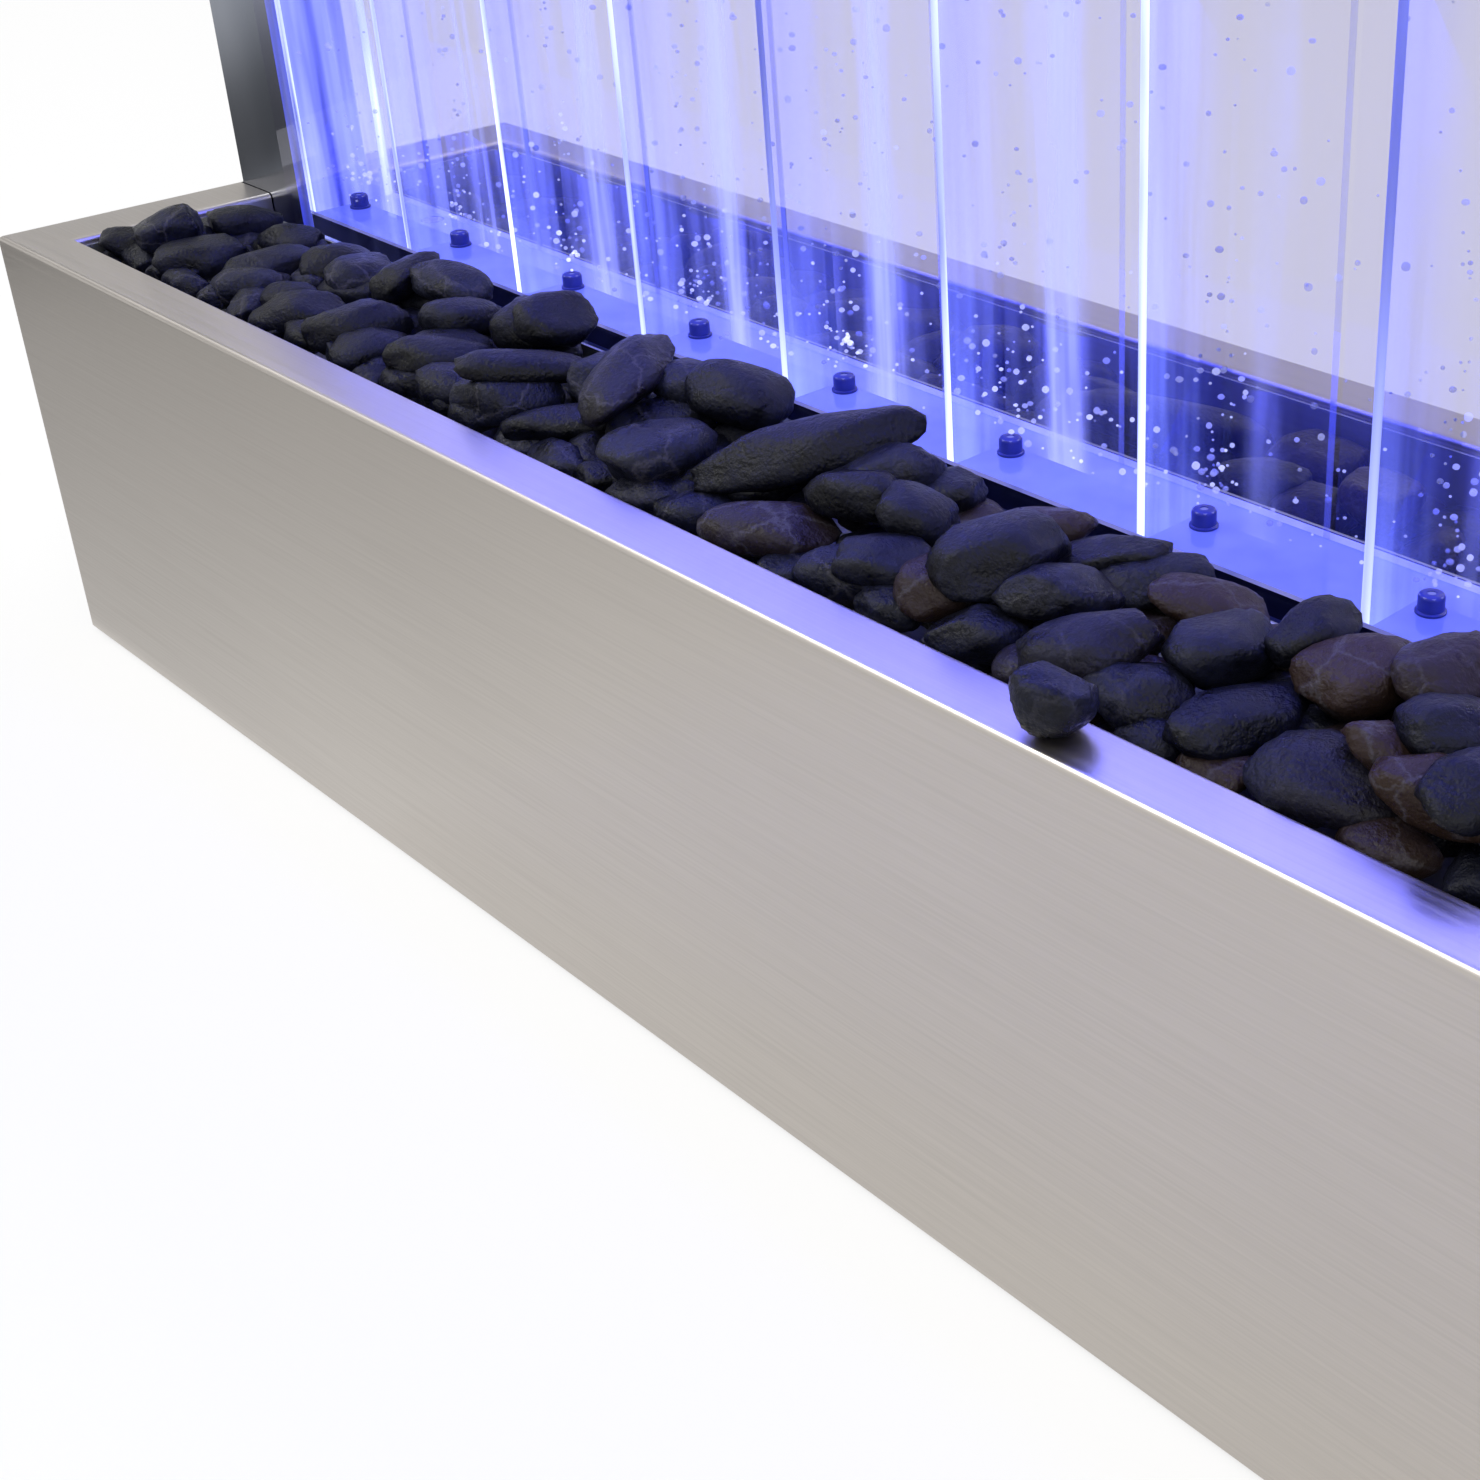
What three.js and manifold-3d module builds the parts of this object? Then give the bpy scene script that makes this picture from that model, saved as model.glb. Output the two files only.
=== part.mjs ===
/**
 * Bubble wall panel: a lit acrylic panel of upright water channels that stands between two steel
 * posts in a folded stainless steel base, with a bed of dark river stones before and behind it.
 * Millimetres. The origin is on the floor under the middle of the base, +X runs along the panel
 * and +Z is up. The stones that lie in front of the panel are on the -Y side.
 */
import * as THREE from "three";
import { mergeVertices } from "three/addons/utils/BufferGeometryUtils.js";
import { RoundedBoxGeometry } from "three/addons/geometries/RoundedBoxGeometry.js";
import Module from "manifold-3d";

const wasm = await Module();
wasm.setup();

// Driving dimensions of the whole piece
const CHANNEL_COUNT = 10;
const CHANNEL_PITCH = 100;
const TOTAL_HEIGHT = 1800;
const BASE_HEIGHT = 235;
const BASE_DEPTH = 312;
const PANEL_DEPTH = 60;
const POST_WIDTH = 74;
const POST_DEPTH = 40;

// Clearances: a sliding or drop-in fit, a glued or seated joint, and how far a cut runs past
const FIT = 0.5;
const SEAT = 0.3;
const OVERRUN = 5;

// Folded base shell
const BASE_SHEET = 2;
const BEND_RADIUS = 3;
const FRONT_RIM = 26;
const END_RIM = 37;
const RIM_LIP = 34;
const TRAY_LEDGE = 9;
const BASE_FLANGE = 34;
const FOOT_HEIGHT = 3;
const FOOT_RADIUS = 15;

// Chassis, legs and post brackets inside the base
const CHASSIS_SHEET = 3;
const LEG_COUNT = 3;
const LEG_WIDTH = 50;
const LEG_DEPTH = 56;
const LEG_WALL = 2;
const LEG_FOOT = 12;
const BRACKET_HEIGHT = 80;
const BRACKET_REACH = 16;
const BRACKET_SHEET = 3;
const POST_WALL = 2;
const POST_CORNER = 3;

// Acrylic panel and the steel cradle that it stands in
const SHEET = 6;
const DIVIDER = 4;
const END_BLOCK = 12;
const REAR_RIB = 3;
const TANK_FLOOR = 10;
const DIVIDER_TOP_DROP = 40;
const SHEET_TOP_DROP = 45;
const LIMBER_WIDTH = 10;
const LIMBER_HEIGHT = 8;
const CRADLE_DEPTH = 37;
const CRADLE_SHEET = 3;
const CRADLE_FLANGE = 12;
const CRADLE_PAD = 3;

// Trays and stones
const TRAY_SHEET = 1.5;
const TRAY_WALL_DROP = 4;
const TRAY_SLOT = 5;
const STONE = 44;
const FRONT_STONE_BED = 26;
const REAR_STONE_BED = 5;
const STONE_BEDDING = 3;
const STONE_MARGIN = 1.5;

// Lighting and air under the tank floor
const RAIL_WIDTH = 40;
const RAIL_HEIGHT = 14;
const RAIL_SHEET = 2;
const LED_BOARD_WIDTH = 30;
const LED_BOARD = 1.6;
const LED_COVER = 2;
const SERVICE_LENGTH = 80;
const MANIFOLD_RADIUS = 6;
const MANIFOLD_BORE = 4;
const NOZZLE_RADIUS = 4.5;
const NOZZLE_PROUD = 7;
const NOZZLE_OFFSET = 10;
const STUB_RADIUS = 6;
const STUB_DROP = 20;
const DRAIN_OFFSET = 14;

// Pump, valves and hoses
const PUMP_LENGTH = 110;
const PUMP_DEPTH = 66;
const PUMP_HEIGHT = 58;
const PUMP_MOUNT = 6;
const HOSE_RADIUS = 4.5;
const CHECK_VALVE_RADIUS = 9;
const CHECK_VALVE_LENGTH = 32;
const FLOW_VALVE_SIZE = 24;
const KNOB_RADIUS = 11;
const KNOB_LENGTH = 12;
const DRAIN_BODY_RADIUS = 13;
const DRAIN_BODY_LENGTH = 56;
const DRAIN_LEVER_LENGTH = 46;
const DRAIN_LEVER_WIDTH = 12;
const DRAIN_LEVER_SHEET = 2.5;

// Electrics
const DRIVER_LENGTH = 160;
const DRIVER_DEPTH = 58;
const DRIVER_HEIGHT = 36;
const LEAD_RADIUS = 2.5;
const CONTROL_OPENING_WIDTH = 150;
const CONTROL_OPENING_HEIGHT = 64;
const CONTROL_BOX_DEPTH = 34;
const PLATE_OVERLAP = 10;
const PLATE_SHEET = 2;
const SWITCH_WIDTH = 13;
const SWITCH_HEIGHT = 19;
const SWITCH_DEPTH = 14;
const SWITCH_WALL = 1.5;
const SWITCH_TILT_DEG = 7;
const INLET_WIDTH = 24;
const INLET_HEIGHT = 16;
const INLET_DEPTH = 17;
const INLET_WALL = 2;
const INLET_PIN = 11;
const IR_RADIUS = 6;
const BEZEL = 1.5;

// Service hatch in the rear wall
const HATCH_WIDTH = 300;
const HATCH_HEIGHT = 120;
const FRAME_INSET = 8;
const FRAME_OUTSET = 12;

// Header and fill lid on top of the panel
const HEADER_HEIGHT = 70;
const HEADER_SHEET = 1.5;
const LID_SHEET = 2;
const LID_OVERLAP = 6;
const LID_SKIRT = 10;
const FILL_MARGIN = 96;
const FILL_WIDTH = 40;
const FINGER_LENGTH = 32;
const FINGER_WIDTH = 14;

// Sizes that follow from the ones above
const PANEL_LENGTH = CHANNEL_COUNT * CHANNEL_PITCH + 2 * END_BLOCK;
const BASE_LENGTH = PANEL_LENGTH + 2 * (POST_WIDTH + BASE_SHEET + FIT);
const LEG_PITCH = (CHANNEL_COUNT * CHANNEL_PITCH) / LEG_COUNT;
const CHASSIS_BOTTOM = FOOT_HEIGHT + BASE_SHEET;
const CHASSIS_TOP = CHASSIS_BOTTOM + CHASSIS_SHEET;
const LEDGE_TOP = BASE_HEIGHT - RIM_LIP;
const CRADLE_BOTTOM = LEDGE_TOP - CRADLE_DEPTH;
const PANEL_BOTTOM = CRADLE_BOTTOM + CRADLE_SHEET + CRADLE_PAD;
const TANK_TOP = BASE_HEIGHT;
const TANK_BOTTOM = TANK_TOP - TANK_FLOOR;
const HEADER_TOP = TOTAL_HEIGHT - LID_SHEET;
const HEADER_BOTTOM = HEADER_TOP - HEADER_HEIGHT;
const POST_TOP = HEADER_TOP - HEADER_SHEET;
const SHEET_TOP = HEADER_TOP - SHEET_TOP_DROP;
const HEADER_DEPTH = PANEL_DEPTH + 2 * (FIT + HEADER_SHEET);
const REAR_INSIDE = BASE_DEPTH / 2 - BASE_SHEET;
const FIRST_CHANNEL = (-CHANNEL_COUNT * CHANNEL_PITCH) / 2;
const CRADLE_HALF = PANEL_DEPTH / 2 + FIT + CRADLE_SHEET;
const BAY_MIDDLE = (CRADLE_HALF + REAR_INSIDE) / 2;
const HATCH_X = FIRST_CHANNEL + HATCH_WIDTH / 2 + FRAME_OUTSET;
const PUMP_X = HATCH_X - PUMP_LENGTH / 2;
const WALL_MIDDLE_Z = (CHASSIS_TOP + LEDGE_TOP) / 2;
const CONTROL_X = BASE_LENGTH / 2 - CONTROL_OPENING_WIDTH - 2 * END_RIM;

const steel = new THREE.MeshStandardMaterial({ color: 0xb5b0aa, roughness: 0.38, metalness: 1 });
const polishedSteel = new THREE.MeshStandardMaterial({ color: 0x8f9297, roughness: 0.12, metalness: 1 });
const innerSteel = new THREE.MeshStandardMaterial({ color: 0x8d8f90, roughness: 0.5, metalness: 1 });
const acrylic = new THREE.MeshStandardMaterial({
  color: 0xdfe6ff,
  roughness: 0.04,
  metalness: 0,
  transparent: true,
  opacity: 0.35,
});
const aluminium = new THREE.MeshStandardMaterial({ color: 0xc9cbcd, roughness: 0.35, metalness: 1 });
const rubber = new THREE.MeshStandardMaterial({ color: 0x1c1c1e, roughness: 0.85, metalness: 0 });
const hoseSilicone = new THREE.MeshStandardMaterial({ color: 0xcfd6d8, roughness: 0.35, metalness: 0 });
const blackPlastic = new THREE.MeshStandardMaterial({ color: 0x17181a, roughness: 0.45, metalness: 0 });
const greyPlastic = new THREE.MeshStandardMaterial({ color: 0x6e7276, roughness: 0.5, metalness: 0 });
const whitePlastic = new THREE.MeshStandardMaterial({ color: 0xe8e8e6, roughness: 0.4, metalness: 0 });
const brass = new THREE.MeshStandardMaterial({ color: 0xb58b47, roughness: 0.3, metalness: 1 });
const darkWindow = new THREE.MeshStandardMaterial({ color: 0x160609, roughness: 0.15, metalness: 0 });
const leverPaint = new THREE.MeshStandardMaterial({ color: 0x1a2966, roughness: 0.45, metalness: 0 });
const stone = new THREE.MeshStandardMaterial({ color: 0x24242c, roughness: 0.55, metalness: 0 });
const ledWhite = new THREE.MeshStandardMaterial({
  color: 0xf2f4ff,
  roughness: 0.4,
  metalness: 0,
  emissive: 0x4a5cff,
});

const ALONG_X = new THREE.Vector3(1, 0, 0);
const ALONG_Y = new THREE.Vector3(0, 1, 0);
const ALONG_Z = new THREE.Vector3(0, 0, 1);

/** The two ends of a stretch of the given size about its middle. */
const about = (middle, size) => [middle - size / 2, middle + size / 2];

/** The two ends of a stretch that starts at a place and has the given length. */
const from = (start, length) => [start, start + length];

/** A box between two ends along each axis. */
function block([x0, x1], [y0, y1], [z0, z1]) {
  const box = new THREE.BoxGeometry(x1 - x0, y1 - y0, z1 - z0);
  return box.translate((x0 + x1) / 2, (y0 + y1) / 2, (z0 + z1) / 2);
}

/** A round bar from one point along an axis. */
function bar(start, axis, length, radius, sides = 12) {
  const cylinder = new THREE.CylinderGeometry(radius, radius, length, sides);
  cylinder.translate(0, length / 2, 0);
  cylinder.applyQuaternion(new THREE.Quaternion().setFromUnitVectors(ALONG_Y, axis));
  return cylinder.translate(start.x, start.y, start.z);
}

/** A turned body: pairs of distance along the axis and radius, closed on the axis. */
function turned(start, axis, steps, sides = 12) {
  const last = steps.length - 1;
  const outline = [[steps[0][0], 0], ...steps, [steps[last][0], 0]];
  const profile = outline.map(([along, radius]) => new THREE.Vector2(radius, along));
  const lathe = new THREE.LatheGeometry(profile, sides);
  lathe.applyQuaternion(new THREE.Quaternion().setFromUnitVectors(ALONG_Y, axis));
  return lathe.translate(start.x, start.y, start.z);
}

/** A closed geometry as a solid that can be joined and cut. */
function solidOf(geometry) {
  const bare = geometry.clone();
  bare.deleteAttribute("normal");
  bare.deleteAttribute("uv");
  const merged = mergeVertices(bare);
  return new wasm.Manifold(
    new wasm.Mesh({
      numProp: 3,
      vertProperties: merged.attributes.position.array,
      triVerts: new Uint32Array(merged.index.array),
    }),
  );
}

/** A solid as a flat-shaded geometry. */
function geometryOf(solid) {
  const mesh = solid.getMesh();
  const geometry = new THREE.BufferGeometry();
  geometry.setAttribute("position", new THREE.BufferAttribute(new Float32Array(mesh.vertProperties), 3));
  geometry.setIndex(new THREE.BufferAttribute(new Uint32Array(mesh.triVerts), 1));
  const flat = geometry.toNonIndexed();
  flat.computeVertexNormals();
  return flat;
}

/** Several geometries joined into one body. */
const joined = (...parts) => geometryOf(parts.map(solidOf).reduce((whole, part) => whole.add(part)));

/** A geometry with tools cut out of it. */
function cutFrom(geometry, ...tools) {
  return geometryOf(tools.map(solidOf).reduce((whole, tool) => whole.subtract(tool), solidOf(geometry)));
}

/** A rectangle with rounded corners, as a shape or as a hole. */
function roundedRectangle(Kind, width, height, radius) {
  const [x, y] = [width / 2, height / 2];
  const outline = new Kind();
  outline.moveTo(-x + radius, -y);
  outline.lineTo(x - radius, -y);
  outline.absarc(x - radius, -y + radius, radius, -Math.PI / 2, 0, false);
  outline.lineTo(x, y - radius);
  outline.absarc(x - radius, y - radius, radius, 0, Math.PI / 2, false);
  outline.lineTo(-x + radius, y);
  outline.absarc(-x + radius, y - radius, radius, Math.PI / 2, Math.PI, false);
  outline.lineTo(-x, -y + radius);
  outline.absarc(-x + radius, -y + radius, radius, Math.PI, 1.5 * Math.PI, false);
  return outline;
}

/** An upright tube of rectangular section with rounded corners. */
function uprightTube(width, depth, wall, corner, height, segments = 2) {
  const section = roundedRectangle(THREE.Shape, width, depth, corner);
  section.holes.push(roundedRectangle(THREE.Path, width - 2 * wall, depth - 2 * wall, corner - wall / 2));
  return new THREE.ExtrudeGeometry(section, { depth: height, bevelEnabled: false, curveSegments: segments });
}

/** A tube-shaped solid of round section along a smooth route. */
function routed(points, radius, steps, sides = 8) {
  const section = new THREE.Shape();
  for (let i = 0; i < sides; i += 1) {
    const turn = (2 * Math.PI * i) / sides;
    const [x, y] = [radius * Math.cos(turn), radius * Math.sin(turn)];
    if (i === 0) section.moveTo(x, y);
    else section.lineTo(x, y);
  }
  const route = new THREE.CatmullRomCurve3(points, false, "centripetal");
  return new THREE.ExtrudeGeometry(section, { steps, extrudePath: route, bevelEnabled: false });
}

const wall = new THREE.Group();
wall.name = "bubble_wall_panel";

/** Adds one named piece to a group. */
function piece(name, geometry, material, parent = wall) {
  const mesh = new THREE.Mesh(geometry, material);
  mesh.name = name;
  parent.add(mesh);
  return mesh;
}

/**
 * The base shell is one folded sheet, mitred at its corners. Going round its section it climbs
 * the outer wall, turns in as the flat rim, drops as a lip and turns in again as the ledge that
 * carries the trays; a flange turns in at the foot. The end rims are wider than the other two.
 */
function baseShellSection() {
  const edge = (inset, z) => ({ end: inset, side: inset, z });
  const rim = (inset, z) => ({ end: END_RIM + inset, side: FRONT_RIM + inset, z });
  const bend = (place, inset, z, start) =>
    [0, 0.5, 1].map((share) => {
      const turn = start - (share * Math.PI) / 2;
      return place(inset + BEND_RADIUS * Math.cos(turn), z + BEND_RADIUS * Math.sin(turn));
    });
  const shoulder = BASE_HEIGHT - BEND_RADIUS;
  return [
    edge(0, FOOT_HEIGHT),
    ...bend(edge, BEND_RADIUS, shoulder, Math.PI),
    ...bend(rim, -BEND_RADIUS, shoulder, Math.PI / 2),
    rim(0, LEDGE_TOP),
    rim(TRAY_LEDGE, LEDGE_TOP),
    rim(TRAY_LEDGE, LEDGE_TOP - BASE_SHEET),
    rim(-BASE_SHEET, LEDGE_TOP - BASE_SHEET),
    rim(-BASE_SHEET, BASE_HEIGHT - BASE_SHEET),
    edge(BASE_SHEET, BASE_HEIGHT - BASE_SHEET),
    edge(BASE_SHEET, FOOT_HEIGHT + BASE_SHEET),
    edge(BASE_FLANGE, FOOT_HEIGHT + BASE_SHEET),
    edge(BASE_FLANGE, FOOT_HEIGHT),
  ];
}

/** A section carried round a rectangle with mitred corners. */
function mitredFrame(section, length, depth) {
  const corners = [[-1, -1], [1, -1], [1, 1], [-1, 1]];
  const place = ([x, y], point) => [x * (length / 2 - point.end), y * (depth / 2 - point.side), point.z];
  const positions = corners.flatMap((corner, side) => {
    const next = corners[(side + 1) % corners.length];
    return section.flatMap((point, i) => {
      const after = section[(i + 1) % section.length];
      const [a, b] = [place(corner, point), place(next, point)];
      const [c, d] = [place(next, after), place(corner, after)];
      return [a, b, c, a, c, d].flat();
    });
  });
  const frame = new THREE.BufferGeometry();
  frame.setAttribute("position", new THREE.Float32BufferAttribute(positions, 3));
  return frame;
}

function buildBase() {
  const rimGap = END_RIM + TRAY_LEDGE + OVERRUN;
  const postNotches = [-1, 1].map((side) => {
    const outer = side * (BASE_LENGTH / 2 - BASE_SHEET);
    const inner = side * (BASE_LENGTH / 2 - rimGap);
    return block(
      [Math.min(outer, inner), Math.max(outer, inner)],
      about(0, POST_DEPTH + 2 * FIT),
      [LEDGE_TOP - BASE_SHEET - OVERRUN, BASE_HEIGHT + OVERRUN],
    );
  });
  const throughRear = from(REAR_INSIDE - OVERRUN, BASE_SHEET + 2 * OVERRUN);
  const hatchHole = block(about(HATCH_X, HATCH_WIDTH), throughRear, about(WALL_MIDDLE_Z, HATCH_HEIGHT));
  const controlHole = block(
    about(CONTROL_X, CONTROL_OPENING_WIDTH),
    throughRear,
    about(WALL_MIDDLE_Z, CONTROL_OPENING_HEIGHT),
  );
  const folded = mitredFrame(baseShellSection(), BASE_LENGTH, BASE_DEPTH);
  piece("base_shell", cutFrom(folded, ...postNotches, hatchHole, controlHole), steel);

  const inside = 2 * (BASE_SHEET + FIT);
  const [plateLength, plateDepth] = [BASE_LENGTH - inside, BASE_DEPTH - inside];
  const chassis = block(about(0, plateLength), about(0, plateDepth), [CHASSIS_BOTTOM, CHASSIS_TOP]);
  piece("chassis_plate", chassis, innerSteel);

  const footX = BASE_LENGTH / 2 - BASE_SHEET - FOOT_RADIUS;
  const footY = BASE_DEPTH / 2 - BASE_SHEET - FOOT_RADIUS;
  for (const [end, x] of [["left", -1], ["right", 1]]) {
    for (const [side, y] of [["front", -1], ["rear", 1]]) {
      const middle = new THREE.Vector3(x * footX, y * footY, 0);
      piece(`${side}_${end}_foot`, bar(middle, ALONG_Z, FOOT_HEIGHT, FOOT_RADIUS), rubber);
    }
  }

  for (let i = 0; i < LEG_COUNT; i += 1) {
    const x = (i - (LEG_COUNT - 1) / 2) * LEG_PITCH;
    const tube = uprightTube(LEG_WIDTH, LEG_DEPTH, LEG_WALL, LEG_WALL, CRADLE_BOTTOM - CHASSIS_TOP, 1);
    tube.translate(x, 0, CHASSIS_TOP);
    const soles = [-1, 1].map((side) => {
      const middle = x + side * (LEG_WIDTH / 2 + LEG_FOOT / 2 - LEG_WALL / 2);
      return block(about(middle, LEG_FOOT + LEG_WALL), about(0, LEG_DEPTH), from(CHASSIS_TOP, LEG_WALL));
    });
    piece(`cradle_leg_${i + 1}`, joined(tube, ...soles), innerSteel);
  }
}

function buildPosts() {
  const middle = BASE_LENGTH / 2 - BASE_SHEET - FIT - POST_WIDTH / 2;
  for (const [name, side] of [["left", -1], ["right", 1]]) {
    const post = uprightTube(POST_WIDTH, POST_DEPTH, POST_WALL, POST_CORNER, POST_TOP - CHASSIS_TOP);
    piece(`${name}_post`, post.translate(side * middle, 0, CHASSIS_TOP), polishedSteel);

    const profile = new THREE.Shape();
    profile.moveTo(0, 0);
    profile.lineTo(BRACKET_REACH, 0);
    profile.lineTo(BRACKET_REACH, BRACKET_SHEET);
    profile.lineTo(2 * BRACKET_SHEET, BRACKET_SHEET);
    profile.lineTo(BRACKET_SHEET, 2 * BRACKET_SHEET);
    profile.lineTo(BRACKET_SHEET, BRACKET_HEIGHT);
    profile.lineTo(0, BRACKET_HEIGHT);
    const angle = new THREE.ExtrudeGeometry(profile, { depth: POST_DEPTH, bevelEnabled: false });
    angle.rotateX(Math.PI / 2);
    angle.translate(0, POST_DEPTH / 2, 0);
    const gusset = new THREE.Shape();
    gusset.moveTo(0, 0);
    gusset.lineTo(BRACKET_REACH, 0);
    gusset.lineTo(0, BRACKET_HEIGHT);
    const web = new THREE.ExtrudeGeometry(gusset, { depth: BRACKET_SHEET, bevelEnabled: false });
    web.rotateX(Math.PI / 2);
    web.translate(0, BRACKET_SHEET / 2, 0);
    const bracket = joined(angle, web);
    if (side > 0) bracket.rotateZ(Math.PI);
    bracket.translate(side * (middle - POST_WIDTH / 2 - SEAT), 0, CHASSIS_TOP);
    piece(`${name}_post_bracket`, bracket, innerSteel);
  }
}

const AIR_X = FIRST_CHANNEL + SERVICE_LENGTH / 4;
const DRAIN_X = FIRST_CHANNEL + (SERVICE_LENGTH * 3) / 4;
const LEAD_X = -FIRST_CHANNEL - SERVICE_LENGTH / 4;
const RAIL_START = FIRST_CHANNEL + SERVICE_LENGTH;
const RAIL_END = -FIRST_CHANNEL - SERVICE_LENGTH / 2;
const INNER_DEPTH = PANEL_DEPTH - 2 * SHEET;

/** A hole tool for a pipe that runs down out of the panel's foot. */
function pipeHole(x, y, radius) {
  const start = new THREE.Vector3(x, y, CRADLE_BOTTOM - OVERRUN);
  return bar(start, ALONG_Z, CRADLE_SHEET + CRADLE_PAD + 2 * OVERRUN, radius + FIT);
}

function buildCradle() {
  const half = PANEL_DEPTH / 2 + FIT;
  const outline = [
    [-CRADLE_HALF, CRADLE_BOTTOM],
    [CRADLE_HALF, CRADLE_BOTTOM],
    [CRADLE_HALF, LEDGE_TOP - CRADLE_SHEET],
    [CRADLE_HALF + CRADLE_FLANGE, LEDGE_TOP - CRADLE_SHEET],
    [CRADLE_HALF + CRADLE_FLANGE, LEDGE_TOP],
    [half, LEDGE_TOP],
    [half, CRADLE_BOTTOM + CRADLE_SHEET],
    [-half, CRADLE_BOTTOM + CRADLE_SHEET],
    [-half, LEDGE_TOP],
    [-CRADLE_HALF - CRADLE_FLANGE, LEDGE_TOP],
    [-CRADLE_HALF - CRADLE_FLANGE, LEDGE_TOP - CRADLE_SHEET],
    [-CRADLE_HALF, LEDGE_TOP - CRADLE_SHEET],
  ];
  const section = new THREE.Shape(outline.map(([y, z]) => new THREE.Vector2(y, z)));
  const length = PANEL_LENGTH - 2 * FIT;
  const hat = new THREE.ExtrudeGeometry(section, { depth: length, bevelEnabled: false });
  hat.applyMatrix4(new THREE.Matrix4().makeBasis(ALONG_Y, ALONG_Z, ALONG_X));
  hat.translate(-length / 2, 0, 0);
  const holes = () => [
    pipeHole(AIR_X, 0, STUB_RADIUS),
    pipeHole(DRAIN_X, DRAIN_OFFSET, STUB_RADIUS),
    pipeHole(LEAD_X, 0, LEAD_RADIUS),
  ];
  piece("panel_cradle", cutFrom(hat, ...holes()), innerSteel);

  const pad = block(about(0, length), about(0, PANEL_DEPTH), from(CRADLE_BOTTOM + CRADLE_SHEET, CRADLE_PAD));
  piece("cradle_pad", cutFrom(pad, ...holes()), rubber);
}

/** Places of the air nozzles, one to each channel. */
const nozzlePlaces = Array.from(
  { length: CHANNEL_COUNT },
  (_, i) => FIRST_CHANNEL + i * CHANNEL_PITCH + NOZZLE_OFFSET,
);

function buildPanel() {
  const length = PANEL_LENGTH - 2 * SEAT;
  const height = [PANEL_BOTTOM, SHEET_TOP];
  piece("front_sheet", block(about(0, length), from(-PANEL_DEPTH / 2, SHEET), height), acrylic);

  const rear = block(about(0, length), from(PANEL_DEPTH / 2 - SHEET, SHEET), height);
  const ribs = Array.from({ length: CHANNEL_COUNT }, (_, i) => {
    const x = FIRST_CHANNEL + (i + 0.5) * CHANNEL_PITCH;
    return block(
      about(x, REAR_RIB),
      from(PANEL_DEPTH / 2 - SHEET - REAR_RIB, REAR_RIB + SHEET / 2),
      [TANK_TOP + SEAT, SHEET_TOP - DIVIDER_TOP_DROP],
    );
  });
  piece("rear_sheet", joined(rear, ...ribs), acrylic);

  const between = about(0, INNER_DEPTH - 2 * SEAT);
  for (const [name, side] of [["left", -1], ["right", 1]]) {
    const x = side * ((PANEL_LENGTH - END_BLOCK) / 2 - SEAT / 2);
    piece(`${name}_end_block`, block(about(x, END_BLOCK - SEAT), between, height), acrylic);
  }

  const floorLength = CHANNEL_COUNT * CHANNEL_PITCH - 2 * SEAT;
  const floor = block(about(0, floorLength), between, [TANK_BOTTOM, TANK_TOP]);
  const holeLength = TANK_FLOOR + 2 * OVERRUN;
  const nozzleHoles = nozzlePlaces.map((x) =>
    bar(new THREE.Vector3(x, 0, TANK_BOTTOM - OVERRUN), ALONG_Z, holeLength, NOZZLE_RADIUS + SEAT, 8),
  );
  const drainHole = bar(
    new THREE.Vector3(DRAIN_X, DRAIN_OFFSET, TANK_BOTTOM - OVERRUN),
    ALONG_Z,
    holeLength,
    STUB_RADIUS + SEAT,
  );
  piece("tank_floor", cutFrom(floor, ...nozzleHoles, drainHole), acrylic);

  for (let i = 1; i < CHANNEL_COUNT; i += 1) {
    const x = FIRST_CHANNEL + i * CHANNEL_PITCH;
    const web = block(about(x, DIVIDER), between, [TANK_TOP + SEAT, SHEET_TOP - DIVIDER_TOP_DROP]);
    const limber = block(
      about(x, DIVIDER + 2 * OVERRUN),
      from(INNER_DEPTH / 2 - LIMBER_WIDTH, LIMBER_WIDTH + OVERRUN),
      from(TANK_TOP - OVERRUN, LIMBER_HEIGHT + OVERRUN),
    );
    piece(`divider_${i}`, cutFrom(web, limber), acrylic);
  }
}

function buildLighting() {
  const bottom = PANEL_BOTTOM;
  const length = RAIL_END - RAIL_START;
  const middle = (RAIL_END + RAIL_START) / 2;
  const rail = block(about(middle, length), about(0, RAIL_WIDTH), from(bottom, RAIL_HEIGHT));
  const trough = block(
    about(middle, length + 2 * OVERRUN),
    about(0, RAIL_WIDTH - 2 * RAIL_SHEET),
    from(bottom + RAIL_SHEET, RAIL_HEIGHT + OVERRUN),
  );
  piece("led_rail", cutFrom(rail, trough), aluminium);
  piece(
    "led_board",
    block(about(middle, length), about(0, LED_BOARD_WIDTH), from(bottom + RAIL_SHEET, LED_BOARD)),
    ledWhite,
  );
  const cover = block(about(middle, length), about(0, RAIL_WIDTH), from(bottom + RAIL_HEIGHT, LED_COVER));
  piece("led_cover", cover, acrylic);
}

const MANIFOLD_Z = PANEL_BOTTOM + RAIL_HEIGHT + LED_COVER + SEAT + MANIFOLD_RADIUS;
const STUB_BOTTOM = CRADLE_BOTTOM - STUB_DROP;

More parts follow.
